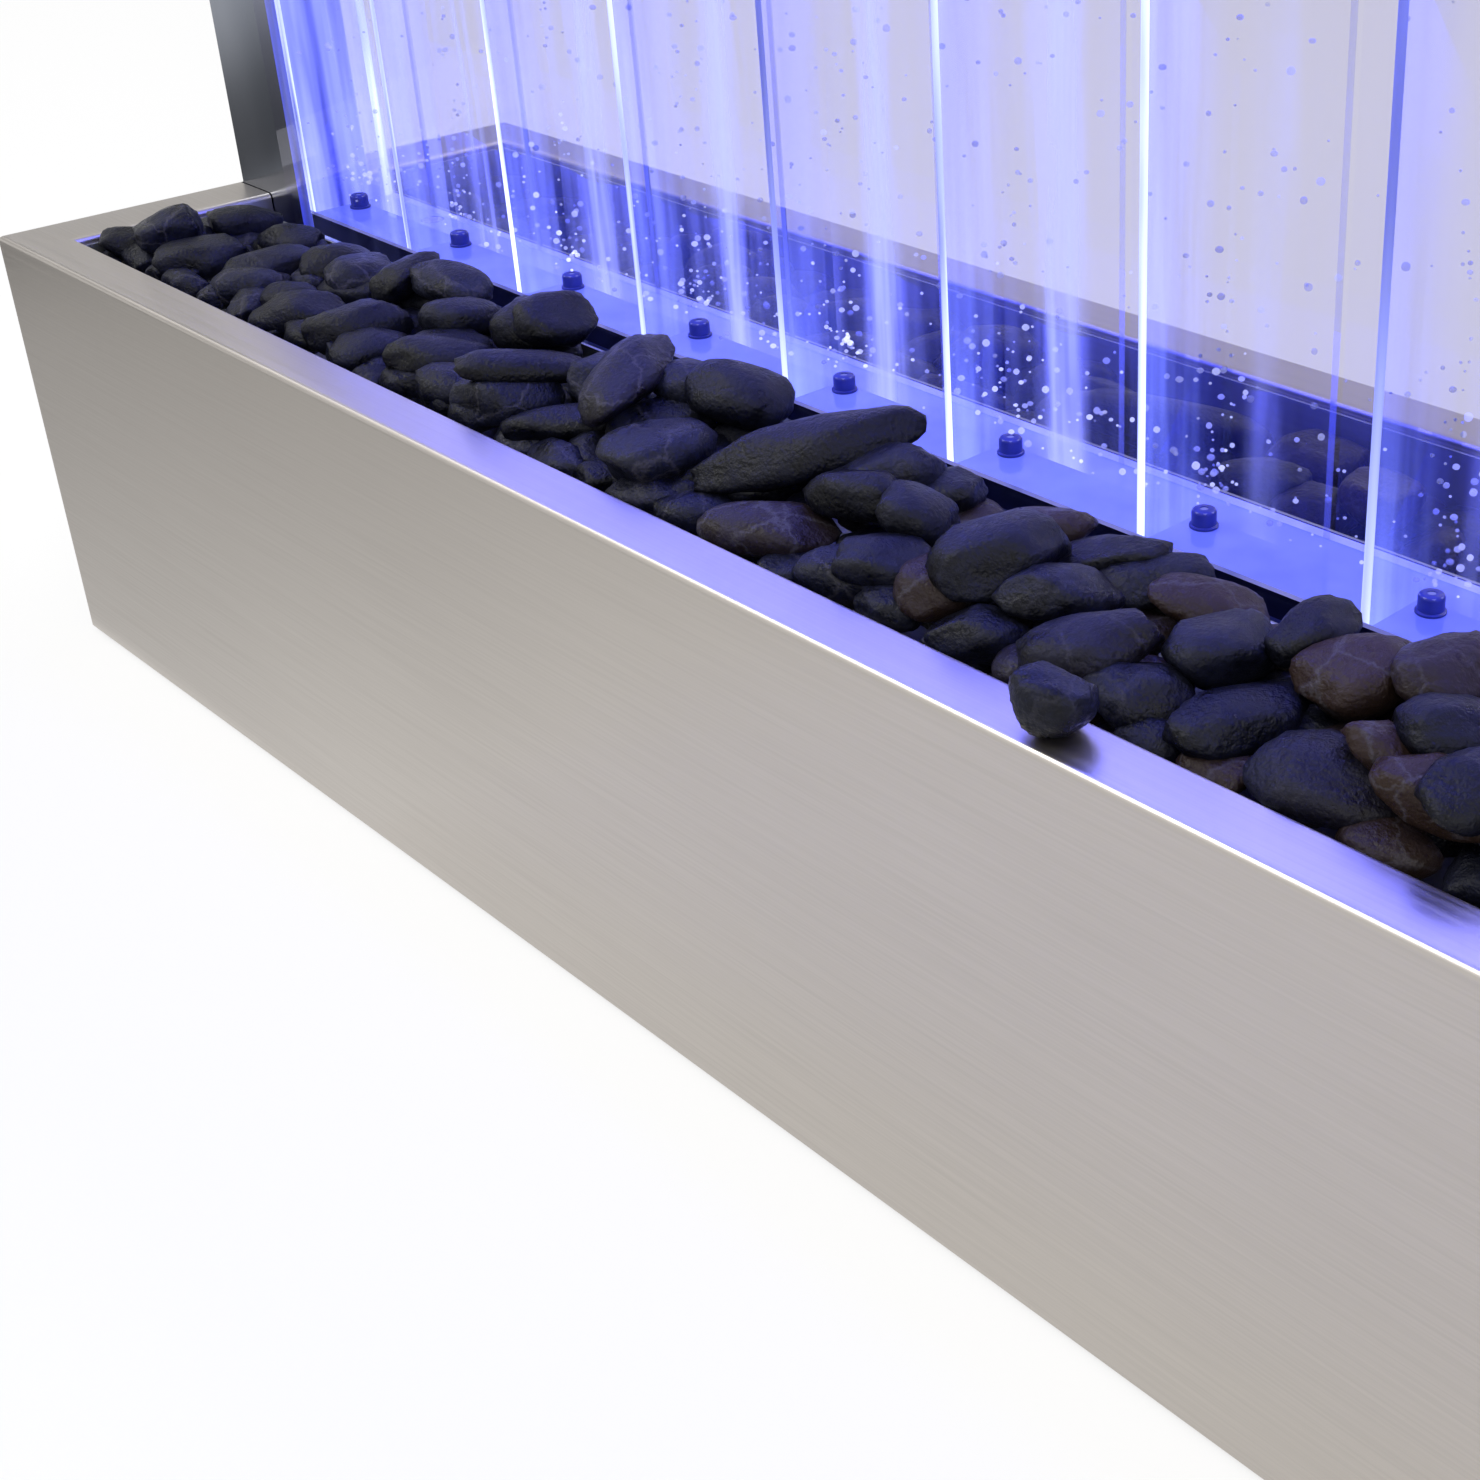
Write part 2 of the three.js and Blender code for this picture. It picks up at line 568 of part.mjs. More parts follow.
function buildAir() {
  const pipeStart = new THREE.Vector3(FIRST_CHANNEL + SEAT, 0, MANIFOLD_Z);
  const pipe = bar(pipeStart, ALONG_X, -2 * FIRST_CHANNEL - CHANNEL_PITCH / 2, MANIFOLD_RADIUS, 8);
  const stubStart = new THREE.Vector3(AIR_X, 0, STUB_BOTTOM);
  const stub = bar(stubStart, ALONG_Z, MANIFOLD_Z - STUB_BOTTOM, STUB_RADIUS - FIT);
  const nozzles = nozzlePlaces.map((x) => {
    const start = new THREE.Vector3(x, 0, MANIFOLD_Z);
    const reach = TANK_TOP + NOZZLE_PROUD - MANIFOLD_Z;
    const neck = [[0, MANIFOLD_BORE], [reach / 2, MANIFOLD_BORE]];
    const tip = [[reach / 2, NOZZLE_RADIUS], [reach, NOZZLE_RADIUS]];
    return turned(start, ALONG_Z, [...neck, ...tip], 8);
  });
  piece("air_manifold", joined(pipe, stub, ...nozzles), greyPlastic);

  const check = new THREE.Vector3(AIR_X, 0, STUB_BOTTOM - SEAT - CHECK_VALVE_LENGTH);
  const neck = CHECK_VALVE_RADIUS / 2;
  piece(
    "check_valve",
    turned(check, ALONG_Z, [
      [0, neck],
      [neck, neck],
      [neck, CHECK_VALVE_RADIUS],
      [CHECK_VALVE_LENGTH - neck, CHECK_VALVE_RADIUS],
      [CHECK_VALVE_LENGTH - neck, neck],
      [CHECK_VALVE_LENGTH, neck],
    ]),
    whitePlastic,
  );

  const valveTop = check.z - SEAT;
  const valveMiddle = valveTop - FLOW_VALVE_SIZE / 2;
  const valveSide = about(0, FLOW_VALVE_SIZE);
  const body = block(about(AIR_X, FLOW_VALVE_SIZE), valveSide, [valveTop - FLOW_VALVE_SIZE, valveTop]);
  const port = new THREE.Vector3(AIR_X, 0, valveMiddle);
  const barb = bar(port, ALONG_Z.clone().negate(), FLOW_VALVE_SIZE, HOSE_RADIUS);
  const stem = bar(port, ALONG_Y, FLOW_VALVE_SIZE / 2 + HOSE_RADIUS, HOSE_RADIUS);
  piece("flow_valve", joined(body, barb, stem), blackPlastic);

  const knobStart = new THREE.Vector3(AIR_X, FLOW_VALVE_SIZE / 2 + SEAT, valveMiddle);
  const knob = bar(knobStart, ALONG_Y, KNOB_LENGTH, KNOB_RADIUS, 16);
  const flutes = Array.from({ length: 4 }, (_, i) => {
    const turn = ((i + 0.5) * Math.PI) / 2;
    const middle = new THREE.Vector3(
      AIR_X + KNOB_RADIUS * Math.cos(turn),
      knobStart.y + KNOB_LENGTH / 3,
      valveMiddle + KNOB_RADIUS * Math.sin(turn),
    );
    return bar(middle, ALONG_Y, KNOB_LENGTH, KNOB_RADIUS / 4, 8);
  });
  const bore = bar(port, ALONG_Y, FLOW_VALVE_SIZE / 2 + HOSE_RADIUS + SEAT, HOSE_RADIUS + SEAT);
  piece("flow_knob", cutFrom(knob, ...flutes, bore), greyPlastic);

  const pumpBottom = CHASSIS_TOP + PUMP_MOUNT;
  const housing = new RoundedBoxGeometry(PUMP_LENGTH, PUMP_DEPTH, PUMP_HEIGHT, 1, PUMP_MOUNT);
  housing.translate(PUMP_X, BAY_MIDDLE, pumpBottom + PUMP_HEIGHT / 2);
  const outletZ = pumpBottom + PUMP_HEIGHT / 2;
  const outletY = BAY_MIDDLE - PUMP_DEPTH / 2 - FLOW_VALVE_SIZE / 2;
  const outlet = bar(new THREE.Vector3(PUMP_X, outletY, outletZ), ALONG_Y, BAY_MIDDLE - outletY, HOSE_RADIUS);
  piece("air_pump", joined(housing, outlet), blackPlastic);
  const mount = block(
    about(PUMP_X, PUMP_LENGTH - 2 * PUMP_MOUNT),
    about(BAY_MIDDLE, PUMP_DEPTH - 2 * PUMP_MOUNT),
    from(CHASSIS_TOP, PUMP_MOUNT),
  );
  piece("pump_mount", mount, rubber);

  const valvePort = valveMiddle - FLOW_VALVE_SIZE - SEAT;
  const hoseTurn = 3 * HOSE_RADIUS;
  const lowest = CHASSIS_TOP + 2 * HOSE_RADIUS;
  const hosePoints = [
    [PUMP_X, outletY - SEAT, outletZ],
    [PUMP_X, outletY - hoseTurn, outletZ],
    [PUMP_X - 2 * hoseTurn, outletY - 2 * hoseTurn, (outletZ + lowest) / 2],
    [AIR_X + 2 * hoseTurn, 0, lowest],
    [AIR_X + HOSE_RADIUS, 0, lowest + HOSE_RADIUS],
    [AIR_X, 0, valvePort - HOSE_RADIUS],
    [AIR_X, 0, valvePort],
  ];
  piece("air_hose", routed(hosePoints.map((p) => new THREE.Vector3(...p)), HOSE_RADIUS, 24), hoseSilicone);
}

function buildDrain() {
  const pipeStart = new THREE.Vector3(DRAIN_X, DRAIN_OFFSET, STUB_BOTTOM);
  const pipe = bar(pipeStart, ALONG_Z, TANK_TOP - STUB_BOTTOM, STUB_RADIUS - FIT);
  piece("drain_pipe", pipe, greyPlastic);
  const valveX = HATCH_X + HATCH_WIDTH / 2 - DRAIN_BODY_LENGTH;
  const valveY = BAY_MIDDLE;
  const valveZ = CHASSIS_TOP + DRAIN_BODY_RADIUS;
  const start = new THREE.Vector3(valveX - DRAIN_BODY_LENGTH / 2, valveY, valveZ);
  const neck = DRAIN_BODY_RADIUS / 2;
  const barrel = turned(start, ALONG_X, [
    [0, neck],
    [neck, neck],
    [2 * neck, DRAIN_BODY_RADIUS],
    [DRAIN_BODY_LENGTH - 2 * neck, DRAIN_BODY_RADIUS],
    [DRAIN_BODY_LENGTH - neck, neck],
    [DRAIN_BODY_LENGTH, neck],
  ]);
  const stemTop = valveZ + DRAIN_BODY_RADIUS + neck;
  const stem = bar(new THREE.Vector3(valveX, valveY, valveZ), ALONG_Z, stemTop - valveZ, neck);
  piece("drain_valve", joined(barrel, stem), brass);

  const leverBottom = stemTop + SEAT;
  const hub = new THREE.Vector3(valveX, valveY, leverBottom);
  const lever = joined(
    block(
      [valveX - DRAIN_LEVER_WIDTH / 2, valveX + DRAIN_LEVER_LENGTH],
      about(valveY, DRAIN_LEVER_WIDTH),
      from(leverBottom, DRAIN_LEVER_SHEET),
    ),
    bar(hub, ALONG_Z, 2 * DRAIN_LEVER_SHEET, DRAIN_LEVER_WIDTH / 2),
  );
  piece("drain_lever", lever, leverPaint);

  const hoseTurn = 4 * HOSE_RADIUS;
  const pumpTop = CHASSIS_TOP + PUMP_MOUNT + PUMP_HEIGHT;
  const hosePoints = [
    [DRAIN_X, DRAIN_OFFSET, STUB_BOTTOM - SEAT],
    [DRAIN_X, DRAIN_OFFSET, STUB_BOTTOM - hoseTurn],
    [PUMP_X, valveY - 2 * hoseTurn, pumpTop + hoseTurn],
    [PUMP_X + PUMP_LENGTH / 2, valveY - hoseTurn, pumpTop + hoseTurn / 2],
    [PUMP_X + PUMP_LENGTH / 2 + 1.5 * hoseTurn, valveY, (pumpTop + valveZ) / 2],
    [start.x - hoseTurn, valveY, valveZ],
    [start.x - SEAT, valveY, valveZ],
  ];
  piece("drain_hose", routed(hosePoints.map((p) => new THREE.Vector3(...p)), HOSE_RADIUS, 24), hoseSilicone);
}

function buildElectrics() {
  const driverX = LEG_WIDTH / 2 + DRIVER_LENGTH / 2;
  const driverY = about(BAY_MIDDLE, DRIVER_DEPTH);
  const ears = block(about(driverX, DRIVER_LENGTH), driverY, from(CHASSIS_TOP, CHASSIS_SHEET));
  const can = block(about(driverX, DRIVER_LENGTH - 2 * LEG_FOOT), driverY, from(CHASSIS_TOP, DRIVER_HEIGHT));
  piece("led_driver", joined(ears, can), aluminium);

  const plateBack = REAR_INSIDE - PLATE_SHEET;
  const plate = block(
    about(CONTROL_X, CONTROL_OPENING_WIDTH + 2 * PLATE_OVERLAP),
    [plateBack, REAR_INSIDE],
    about(WALL_MIDDLE_Z, CONTROL_OPENING_HEIGHT + 2 * PLATE_OVERLAP),
  );
  const switchX = CONTROL_X - CONTROL_OPENING_WIDTH / 3;
  const inletX = CONTROL_X;
  const irX = CONTROL_X + CONTROL_OPENING_WIDTH / 3;
  const through = from(plateBack - OVERRUN, PLATE_SHEET + 2 * OVERRUN);
  const switchOuter = [SWITCH_WIDTH + 2 * SWITCH_WALL, SWITCH_HEIGHT + 2 * SWITCH_WALL];
  const inletOuter = [INLET_WIDTH + 2 * INLET_WALL, INLET_HEIGHT + 2 * INLET_WALL];
  const holeFor = (x, [width, height]) =>
    block(about(x, width + 2 * SEAT), through, about(WALL_MIDDLE_Z, height + 2 * SEAT));
  const switchHole = holeFor(switchX, switchOuter);
  const inletHole = holeFor(inletX, inletOuter);
  const irHoleStart = new THREE.Vector3(irX, plateBack - OVERRUN, WALL_MIDDLE_Z);
  const irHole = bar(irHoleStart, ALONG_Y, through[1] - through[0], IR_RADIUS + SEAT);
  piece("control_plate", cutFrom(plate, switchHole, inletHole, irHole), blackPlastic);

  const switchFront = REAR_INSIDE + BEZEL - SEAT;
  const switchShell = joined(
    block(
      about(switchX, switchOuter[0]),
      [switchFront - SWITCH_DEPTH, switchFront],
      about(WALL_MIDDLE_Z, switchOuter[1]),
    ),
    block(
      about(switchX, switchOuter[0] + 2 * SWITCH_WALL),
      [REAR_INSIDE + SEAT / 2, switchFront],
      about(WALL_MIDDLE_Z, switchOuter[1] + 2 * SWITCH_WALL),
    ),
  );
  const rockerWell = block(
    about(switchX, SWITCH_WIDTH),
    [switchFront - SWITCH_DEPTH + SWITCH_WALL, switchFront + OVERRUN],
    about(WALL_MIDDLE_Z, SWITCH_HEIGHT),
  );
  piece("switch_housing", cutFrom(switchShell, rockerWell), blackPlastic);

  const reach = SWITCH_HEIGHT / 2 - FIT;
  const rocker = new THREE.Shape();
  const arc = [-1, -0.5, 0, 0.5, 1].map((share) => share * THREE.MathUtils.degToRad(2 * SWITCH_TILT_DEG));
  const dip = BEZEL / 2;
  rocker.moveTo(reach * Math.cos(arc[0]), reach * Math.sin(arc[0]));
  arc.slice(1).forEach((turn) => rocker.lineTo(reach * Math.cos(turn), reach * Math.sin(turn)));
  rocker.lineTo(0, reach * Math.sin(arc[arc.length - 1]) - dip);
  arc.slice().reverse().forEach((turn) => rocker.lineTo(-reach * Math.cos(turn), reach * Math.sin(turn)));
  const paddle = new THREE.ExtrudeGeometry(rocker, { depth: SWITCH_WIDTH - 2 * FIT, bevelEnabled: false });
  paddle.translate(0, 0, -SWITCH_WIDTH / 2 + FIT);
  paddle.applyMatrix4(new THREE.Matrix4().makeBasis(ALONG_Z, ALONG_Y, ALONG_X.clone().negate()));
  paddle.rotateX(-THREE.MathUtils.degToRad(SWITCH_TILT_DEG));
  paddle.translate(switchX, switchFront - reach * Math.sin(arc[arc.length - 1]) - FIT, WALL_MIDDLE_Z);
  piece("power_switch", paddle, greyPlastic);

  const inletFront = REAR_INSIDE + BEZEL;
  const inletBody = joined(
    block(
      about(inletX, inletOuter[0]),
      [inletFront - INLET_DEPTH - INLET_WALL, inletFront],
      about(WALL_MIDDLE_Z, inletOuter[1]),
    ),
    block(
      about(inletX, inletOuter[0] + 2 * INLET_WALL),
      [REAR_INSIDE + SEAT / 2, inletFront],
      about(WALL_MIDDLE_Z, inletOuter[1] + 2 * INLET_WALL),
    ),
  );
  const socket = block(
    about(inletX, INLET_WIDTH),
    [inletFront - INLET_DEPTH, inletFront + OVERRUN],
    about(WALL_MIDDLE_Z, INLET_HEIGHT),
  );
  const hollow = cutFrom(inletBody, socket);
  const pins = [-1, 0, 1].map((place) =>
    block(
      about(inletX + (place * INLET_WIDTH) / 4, INLET_WALL),
      from(inletFront - INLET_DEPTH - INLET_WALL / 2, INLET_PIN + INLET_WALL / 2),
      about(WALL_MIDDLE_Z + (place === 0 ? INLET_WALL : -INLET_WALL), 2 * INLET_WALL),
    ),
  );
  piece("power_inlet", joined(hollow, ...pins), blackPlastic);

  const irStart = new THREE.Vector3(irX, plateBack, WALL_MIDDLE_Z);
  const barrel = [[0, IR_RADIUS], [PLATE_SHEET, IR_RADIUS]];
  const dome = [PLATE_SHEET + BEZEL, IR_RADIUS * Math.SQRT1_2];
  piece("ir_window", turned(irStart, ALONG_Y, [...barrel, dome]), darkWindow);

  const boxWidth = CONTROL_OPENING_WIDTH / 3 - 2 * IR_RADIUS;
  const controlBox = block(
    about(irX, boxWidth),
    from(plateBack - SEAT - CONTROL_BOX_DEPTH, CONTROL_BOX_DEPTH),
    about(WALL_MIDDLE_Z, CONTROL_OPENING_HEIGHT),
  );
  piece("control_box", controlBox, greyPlastic);

  const leadZ = PANEL_BOTTOM + RAIL_SHEET + LEAD_RADIUS;
  const driverEnd = driverX + DRIVER_LENGTH / 2 - LEG_FOOT;
  const bend = 4 * LEAD_RADIUS;
  const leadPoints = [
    [driverEnd + SEAT, BAY_MIDDLE, CHASSIS_TOP + DRIVER_HEIGHT / 2],
    [driverEnd + bend, BAY_MIDDLE, CHASSIS_TOP + DRIVER_HEIGHT / 2],
    [driverEnd + 2 * bend, BAY_MIDDLE - bend, CHASSIS_TOP + bend],
    [(driverEnd + LEAD_X) / 2, BAY_MIDDLE / 2, CHASSIS_TOP + bend],
    [LEAD_X - bend, bend, CHASSIS_TOP + 2 * bend],
    [LEAD_X, 0, CHASSIS_TOP + 4 * bend],
    [LEAD_X, 0, CRADLE_BOTTOM - bend],
    [LEAD_X, 0, PANEL_BOTTOM],
    [LEAD_X - LEAD_RADIUS, 0, leadZ + LEAD_RADIUS],
    [LEAD_X - bend, 0, leadZ + LEAD_RADIUS],
    [RAIL_END + SEAT, 0, leadZ + LEAD_RADIUS],
  ];
  piece("led_lead", routed(leadPoints.map((p) => new THREE.Vector3(...p)), LEAD_RADIUS, 40), blackPlastic);
}

function buildHatch() {
  const height = about(WALL_MIDDLE_Z, HATCH_HEIGHT - 2 * FIT);
  const plate = block(about(HATCH_X, HATCH_WIDTH - 2 * FIT), [REAR_INSIDE, BASE_DEPTH / 2], height);
  const slotCount = 7;
  const slotPitch = HATCH_WIDTH / (2 * slotCount);
  const slots = Array.from({ length: slotCount }, (_, i) => {
    const x = HATCH_X + (i - (slotCount - 1) / 2) * slotPitch;
    return block(
      about(x, slotPitch / 3),
      from(REAR_INSIDE - OVERRUN, BASE_SHEET + 2 * OVERRUN),
      about(WALL_MIDDLE_Z, HATCH_HEIGHT / 2),
    );
  });
  piece("service_hatch", cutFrom(plate, ...slots), steel);

  const ring = block(
    about(HATCH_X, HATCH_WIDTH + 2 * FRAME_OUTSET),
    from(REAR_INSIDE - BASE_SHEET, BASE_SHEET),
    about(WALL_MIDDLE_Z, HATCH_HEIGHT + 2 * FRAME_OUTSET),
  );
  const way = block(
    about(HATCH_X, HATCH_WIDTH - 2 * FRAME_INSET),
    from(REAR_INSIDE - BASE_SHEET - OVERRUN, BASE_SHEET + 2 * OVERRUN),
    about(WALL_MIDDLE_Z, HATCH_HEIGHT - 2 * FRAME_INSET),
  );
  piece("hatch_frame", cutFrom(ring, way), innerSteel);
}

function buildHeader() {
  const shell = block(about(0, BASE_LENGTH), about(0, HEADER_DEPTH), [HEADER_BOTTOM, HEADER_TOP]);
  const inside = block(
    about(0, BASE_LENGTH - 2 * HEADER_SHEET),
    about(0, HEADER_DEPTH - 2 * HEADER_SHEET),
    [HEADER_BOTTOM - OVERRUN, HEADER_TOP - HEADER_SHEET],
  );
  const fillLength = CHANNEL_COUNT * CHANNEL_PITCH - FILL_MARGIN;
  const fill = block(about(0, fillLength), about(0, FILL_WIDTH), about(HEADER_TOP, 2 * OVERRUN));
  piece("header_shell", cutFrom(shell, inside, fill), steel);

  const skirt = [fillLength - 2 * FIT, FILL_WIDTH - 2 * FIT];
  const plate = block(
    about(0, fillLength + 2 * LID_OVERLAP),
    about(0, FILL_WIDTH + 2 * LID_OVERLAP),
    [HEADER_TOP, TOTAL_HEIGHT],
  );
  const plugHeight = [HEADER_TOP - LID_SKIRT, TOTAL_HEIGHT - LID_SHEET / 2];
  const plug = block(about(0, skirt[0]), about(0, skirt[1]), plugHeight);
  const hollow = block(
    about(0, skirt[0] - 2 * LID_SHEET),
    about(0, skirt[1] - 2 * LID_SHEET),
    [HEADER_TOP - LID_SKIRT - OVERRUN, HEADER_TOP],
  );
  const fingers = [-1, 1].map((side) => {
    const x = side * (fillLength / 2 - FINGER_LENGTH);
    return block(about(x, FINGER_LENGTH), about(0, FINGER_WIDTH), about(TOTAL_HEIGHT, 2 * OVERRUN));
  });
  piece("fill_lid", cutFrom(joined(plate, plug), hollow, ...fingers), steel);
}

/**
 * Stones in the front tray: place along and across the tray, then length and width as shares of a
 * common stone, then the turn of the long side in degrees. The lowest come first; the first nine
 * lie along the panel and prop the ones that lean on them.
 */
const FRONT_STONE_SHARES = [
  [0.2, 0.9, 1.2, 0.62, 4], [0.285, 0.9, 1.25, 0.62, 176], [0.385, 0.9, 1.3, 0.62, 3],
  [0.43, 0.9, 1.2, 0.66, 8], [0.475, 0.9, 1.3, 0.62, 175], [0.53, 0.9, 1.25, 0.6, 4],
  [0.575, 0.9, 1.2, 0.64, 178], [0.62, 0.9, 1.25, 0.6, 6], [0.72, 0.9, 1.3, 0.62, 2],
  [0.013, 0.21, 0.85, 0.6, 70], [0.036, 0.42, 0.8, 0.6, 65], [0.037, 0.75, 1, 0.6, 90],
  [0.074, 0.83, 0.9, 0.62, 20], [0.118, 0.27, 0.85, 0.6, 33], [0.145, 0.35, 0.75, 0.55, 40],
  [0.17, 0.24, 1.05, 0.65, 52], [0.232, 0.22, 0.85, 0.6, 84], [0.294, 0.2, 0.85, 0.62, 20],
  [0.257, 0.46, 1, 0.65, 60], [0.362, 0.32, 1.3, 0.6, 48], [0.395, 0.56, 1.15, 0.6, 65],
  [0.442, 0.4, 1, 0.55, 54], [0.463, 0.51, 1, 0.62, 85], [0.492, 0.22, 1.25, 0.65, 32],
  [0.535, 0.2, 0.95, 0.6, 33], [0.558, 0.17, 0.6, 0.45, 25], [0.547, 0.24, 0.95, 0.6, 32],
  [0.572, 0.28, 0.85, 0.62, 87], [0.598, 0.18, 0.9, 0.62, 30], [0.527, 0.8, 0.85, 0.5, 47],
  [0.624, 0.78, 1.05, 0.5, 48], [0.658, 0.23, 0.9, 0.7, 5], [0.674, 0.82, 0.8, 0.6, 36],
  [0.702, 0.85, 0.8, 0.55, 18], [0.704, 0.53, 0.6, 0.45, 35], [0.728, 0.22, 1.2, 0.8, 18],
  [0.741, 0.33, 0.85, 0.5, 32], [0.763, 0.25, 1, 0.6, 17], [0.611, 0.43, 1.05, 0.62, 59],
  [0.638, 0.27, 1.2, 0.68, 42], [0.691, 0.32, 1.25, 0.65, 73], [0.71, 0.62, 1, 0.7, 56],
  [0.734, 0.75, 0.9, 0.65, 59], [0.752, 0.51, 1, 0.8, 68], [0.067, 0.31, 1.1, 0.72, 66],
  [0.102, 0.55, 1.25, 0.62, 78], [0.125, 0.77, 0.95, 0.65, 63], [0.148, 0.76, 0.9, 0.68, 95],
  [0.191, 0.76, 0.92, 0.7, 106], [0.218, 0.82, 1, 0.62, 21], [0.211, 0.31, 1.15, 0.8, 63],
  [0.246, 0.66, 0.9, 0.72, 83], [0.273, 0.34, 1.25, 0.62, 50], [0.285, 0.77, 1.05, 0.82, 28],
  [0.307, 0.74, 0.9, 0.7, 79], [0.326, 0.29, 1.1, 0.85, 60], [0.329, 0.36, 1.35, 0.5, 59],
  [0.351, 0.63, 0.9, 0.6, 98], [0.392, 0.79, 0.85, 0.72, 54], [0.423, 0.29, 1.15, 0.85, 74],
  [0.505, 0.69, 1.2, 0.75, 40], [0.513, 0.46, 1.05, 0.55, 12], [0.543, 0.5, 0.8, 0.65, 48],
  [0.602, 0.76, 1.2, 0.55, 34], [0.586, 0.42, 1.2, 0.85, 69], [0.565, 0.82, 1.2, 0.5, 30],
  [0.648, 0.78, 1.1, 0.6, 30], [0.669, 0.52, 1, 0.72, 72], [0.689, 0.72, 0.8, 0.52, 70],
  [0.039, 0.32, 0.85, 0.75, 68], [0.379, 0.53, 1.35, 0.72, 112], [0.419, 0.78, 1.05, 0.75, 32],
  [0.478, 0.58, 2.3, 0.72, 46],
];
const STONE_FLATNESS_SHARE = 0.6;
const SHOWN_LENGTH_SHARE = 0.77;
const REPEAT_OVERLAP_SHARE = 0.01;
const TILT_SHARE = 0.6;
const MOST_TILT_DEG = 24;

/** A stone's shape: half sizes and the rotation that takes its long side to where it lies. */
function stoneShape([length, width, thickness], turnDeg, tilt = { x: 0, y: 0 }) {
  const flat = new THREE.Quaternion().setFromAxisAngle(ALONG_Z, THREE.MathUtils.degToRad(turnDeg));
  const lean = new THREE.Quaternion().setFromEuler(new THREE.Euler(tilt.x, tilt.y, 0));
  const turn = lean.multiply(flat);
  const half = new THREE.Vector3(length / 2, width / 2, thickness / 2);
  const rotation = new THREE.Matrix4().makeRotationFromQuaternion(turn);
  const stretched = rotation.clone().scale(half);
  const spread = new THREE.Matrix3().setFromMatrix4(stretched.clone().multiply(stretched.transpose()));
  return { half, turn, spread, inverse: spread.clone().invert() };
}

/** Heights of an ellipsoid's underside and top over a place, counted from its middle. */
function stoneHeights(shape, u, v) {
  const m = shape.inverse.elements;
  const b = m[6] * u + m[7] * v;
  const c = m[0] * u * u + 2 * m[3] * u * v + m[4] * v * v - 1;
  const root = b * b - m[8] * c;
  if (root < 0) return null;
  const reach = Math.sqrt(root) / m[8];
  return { under: -b / m[8] - reach, top: -b / m[8] + reach };
}

/** Height of the bed's surface over a place. */
function surfaceHeight(lying, floor, x, y) {
  return lying.reduce((height, other) => {
    const over = stoneHeights(other.shape, x - other.x, y - other.y);
    return over ? Math.max(height, other.z + over.top) : height;
  }, floor);
}

/** How high a stone comes to rest on the floor and the stones that lie there already. */
function restingHeight(shape, x, y, lying, floor) {
  const reach = { x: Math.sqrt(shape.spread.elements[0]), y: Math.sqrt(shape.spread.elements[4]) };
  const ringShares = [0, 0.35, 0.6, 0.8, 0.93];
  const ringSteps = 12;
  const heights = ringShares.flatMap((share) =>
    Array.from({ length: ringSteps }, (_, i) => {
      const turn = (2 * Math.PI * i) / ringSteps;
      const [u, v] = [share * reach.x * Math.cos(turn), share * reach.y * Math.sin(turn)];
      const rest = stoneHeights(shape, u, v);
      return rest ? surfaceHeight(lying, floor, x + u, y + v) - rest.under : floor;
    }),
  );
  return Math.max(...heights);
}

/** Lays one stone in a tray: it leans with what is under it and settles until it beds on it. */
function layStone(lying, tray, faces, [along, across, length, width, turnDeg]) {
  const size = [length * STONE, width * STONE, width * STONE * STONE_FLATNESS_SHARE];
  const level = stoneShape(size, turnDeg);
  const held = (share, low, high, reach) => {
    const room = reach + STONE_MARGIN;
    return THREE.MathUtils.clamp(low + share * (high - low), low + room, high - room);
  };
  const spot = (shape) => {
    const [reachX, reachY] = [Math.sqrt(shape.spread.elements[0]), Math.sqrt(shape.spread.elements[4])];
    return { x: held(along, tray.x0, tray.x1, reachX), y: held(across, tray.y0, tray.y1, reachY) };
  };
  const first = spot(level);
  const step = size[1] / 2;
  const height = (dx, dy) => surfaceHeight(lying, tray.floor, first.x + dx, first.y + dy);
  const limit = THREE.MathUtils.degToRad(MOST_TILT_DEG);
  const slope = (rise) => THREE.MathUtils.clamp(TILT_SHARE * Math.atan(rise / (2 * step)), -limit, limit);
  const tilt = { x: slope(height(0, step) - height(0, -step)), y: slope(height(-step, 0) - height(step, 0)) };
  const shape = stoneShape(size, turnDeg, tilt);
  const placed = { shape, ...spot(shape), index: lying.length };
  const near = lying.filter((other) => {
    const apart = Math.hypot(other.x - placed.x, other.y - placed.y);
    return apart < other.shape.half.x + shape.half.x;
  });
  const lowerTo = (z) => {
    placed.z = z;
    const geometry = stoneGeometry(placed, ...faces);
    geometry.computeBoundingBox();
    placed.body = solidOf(geometry);
    const onStone = near.some((other) => !placed.body.intersect(other.body).isEmpty());
    return onStone || geometry.boundingBox.min.z < tray.floor;
  };
  let z = restingHeight(shape, placed.x, placed.y, near, tray.floor) - STONE_BEDDING;
  while (!lowerTo(z + STONE_BEDDING) || !lowerTo(z)) z -= STONE_BEDDING / 2;
  lying.push(placed);
}

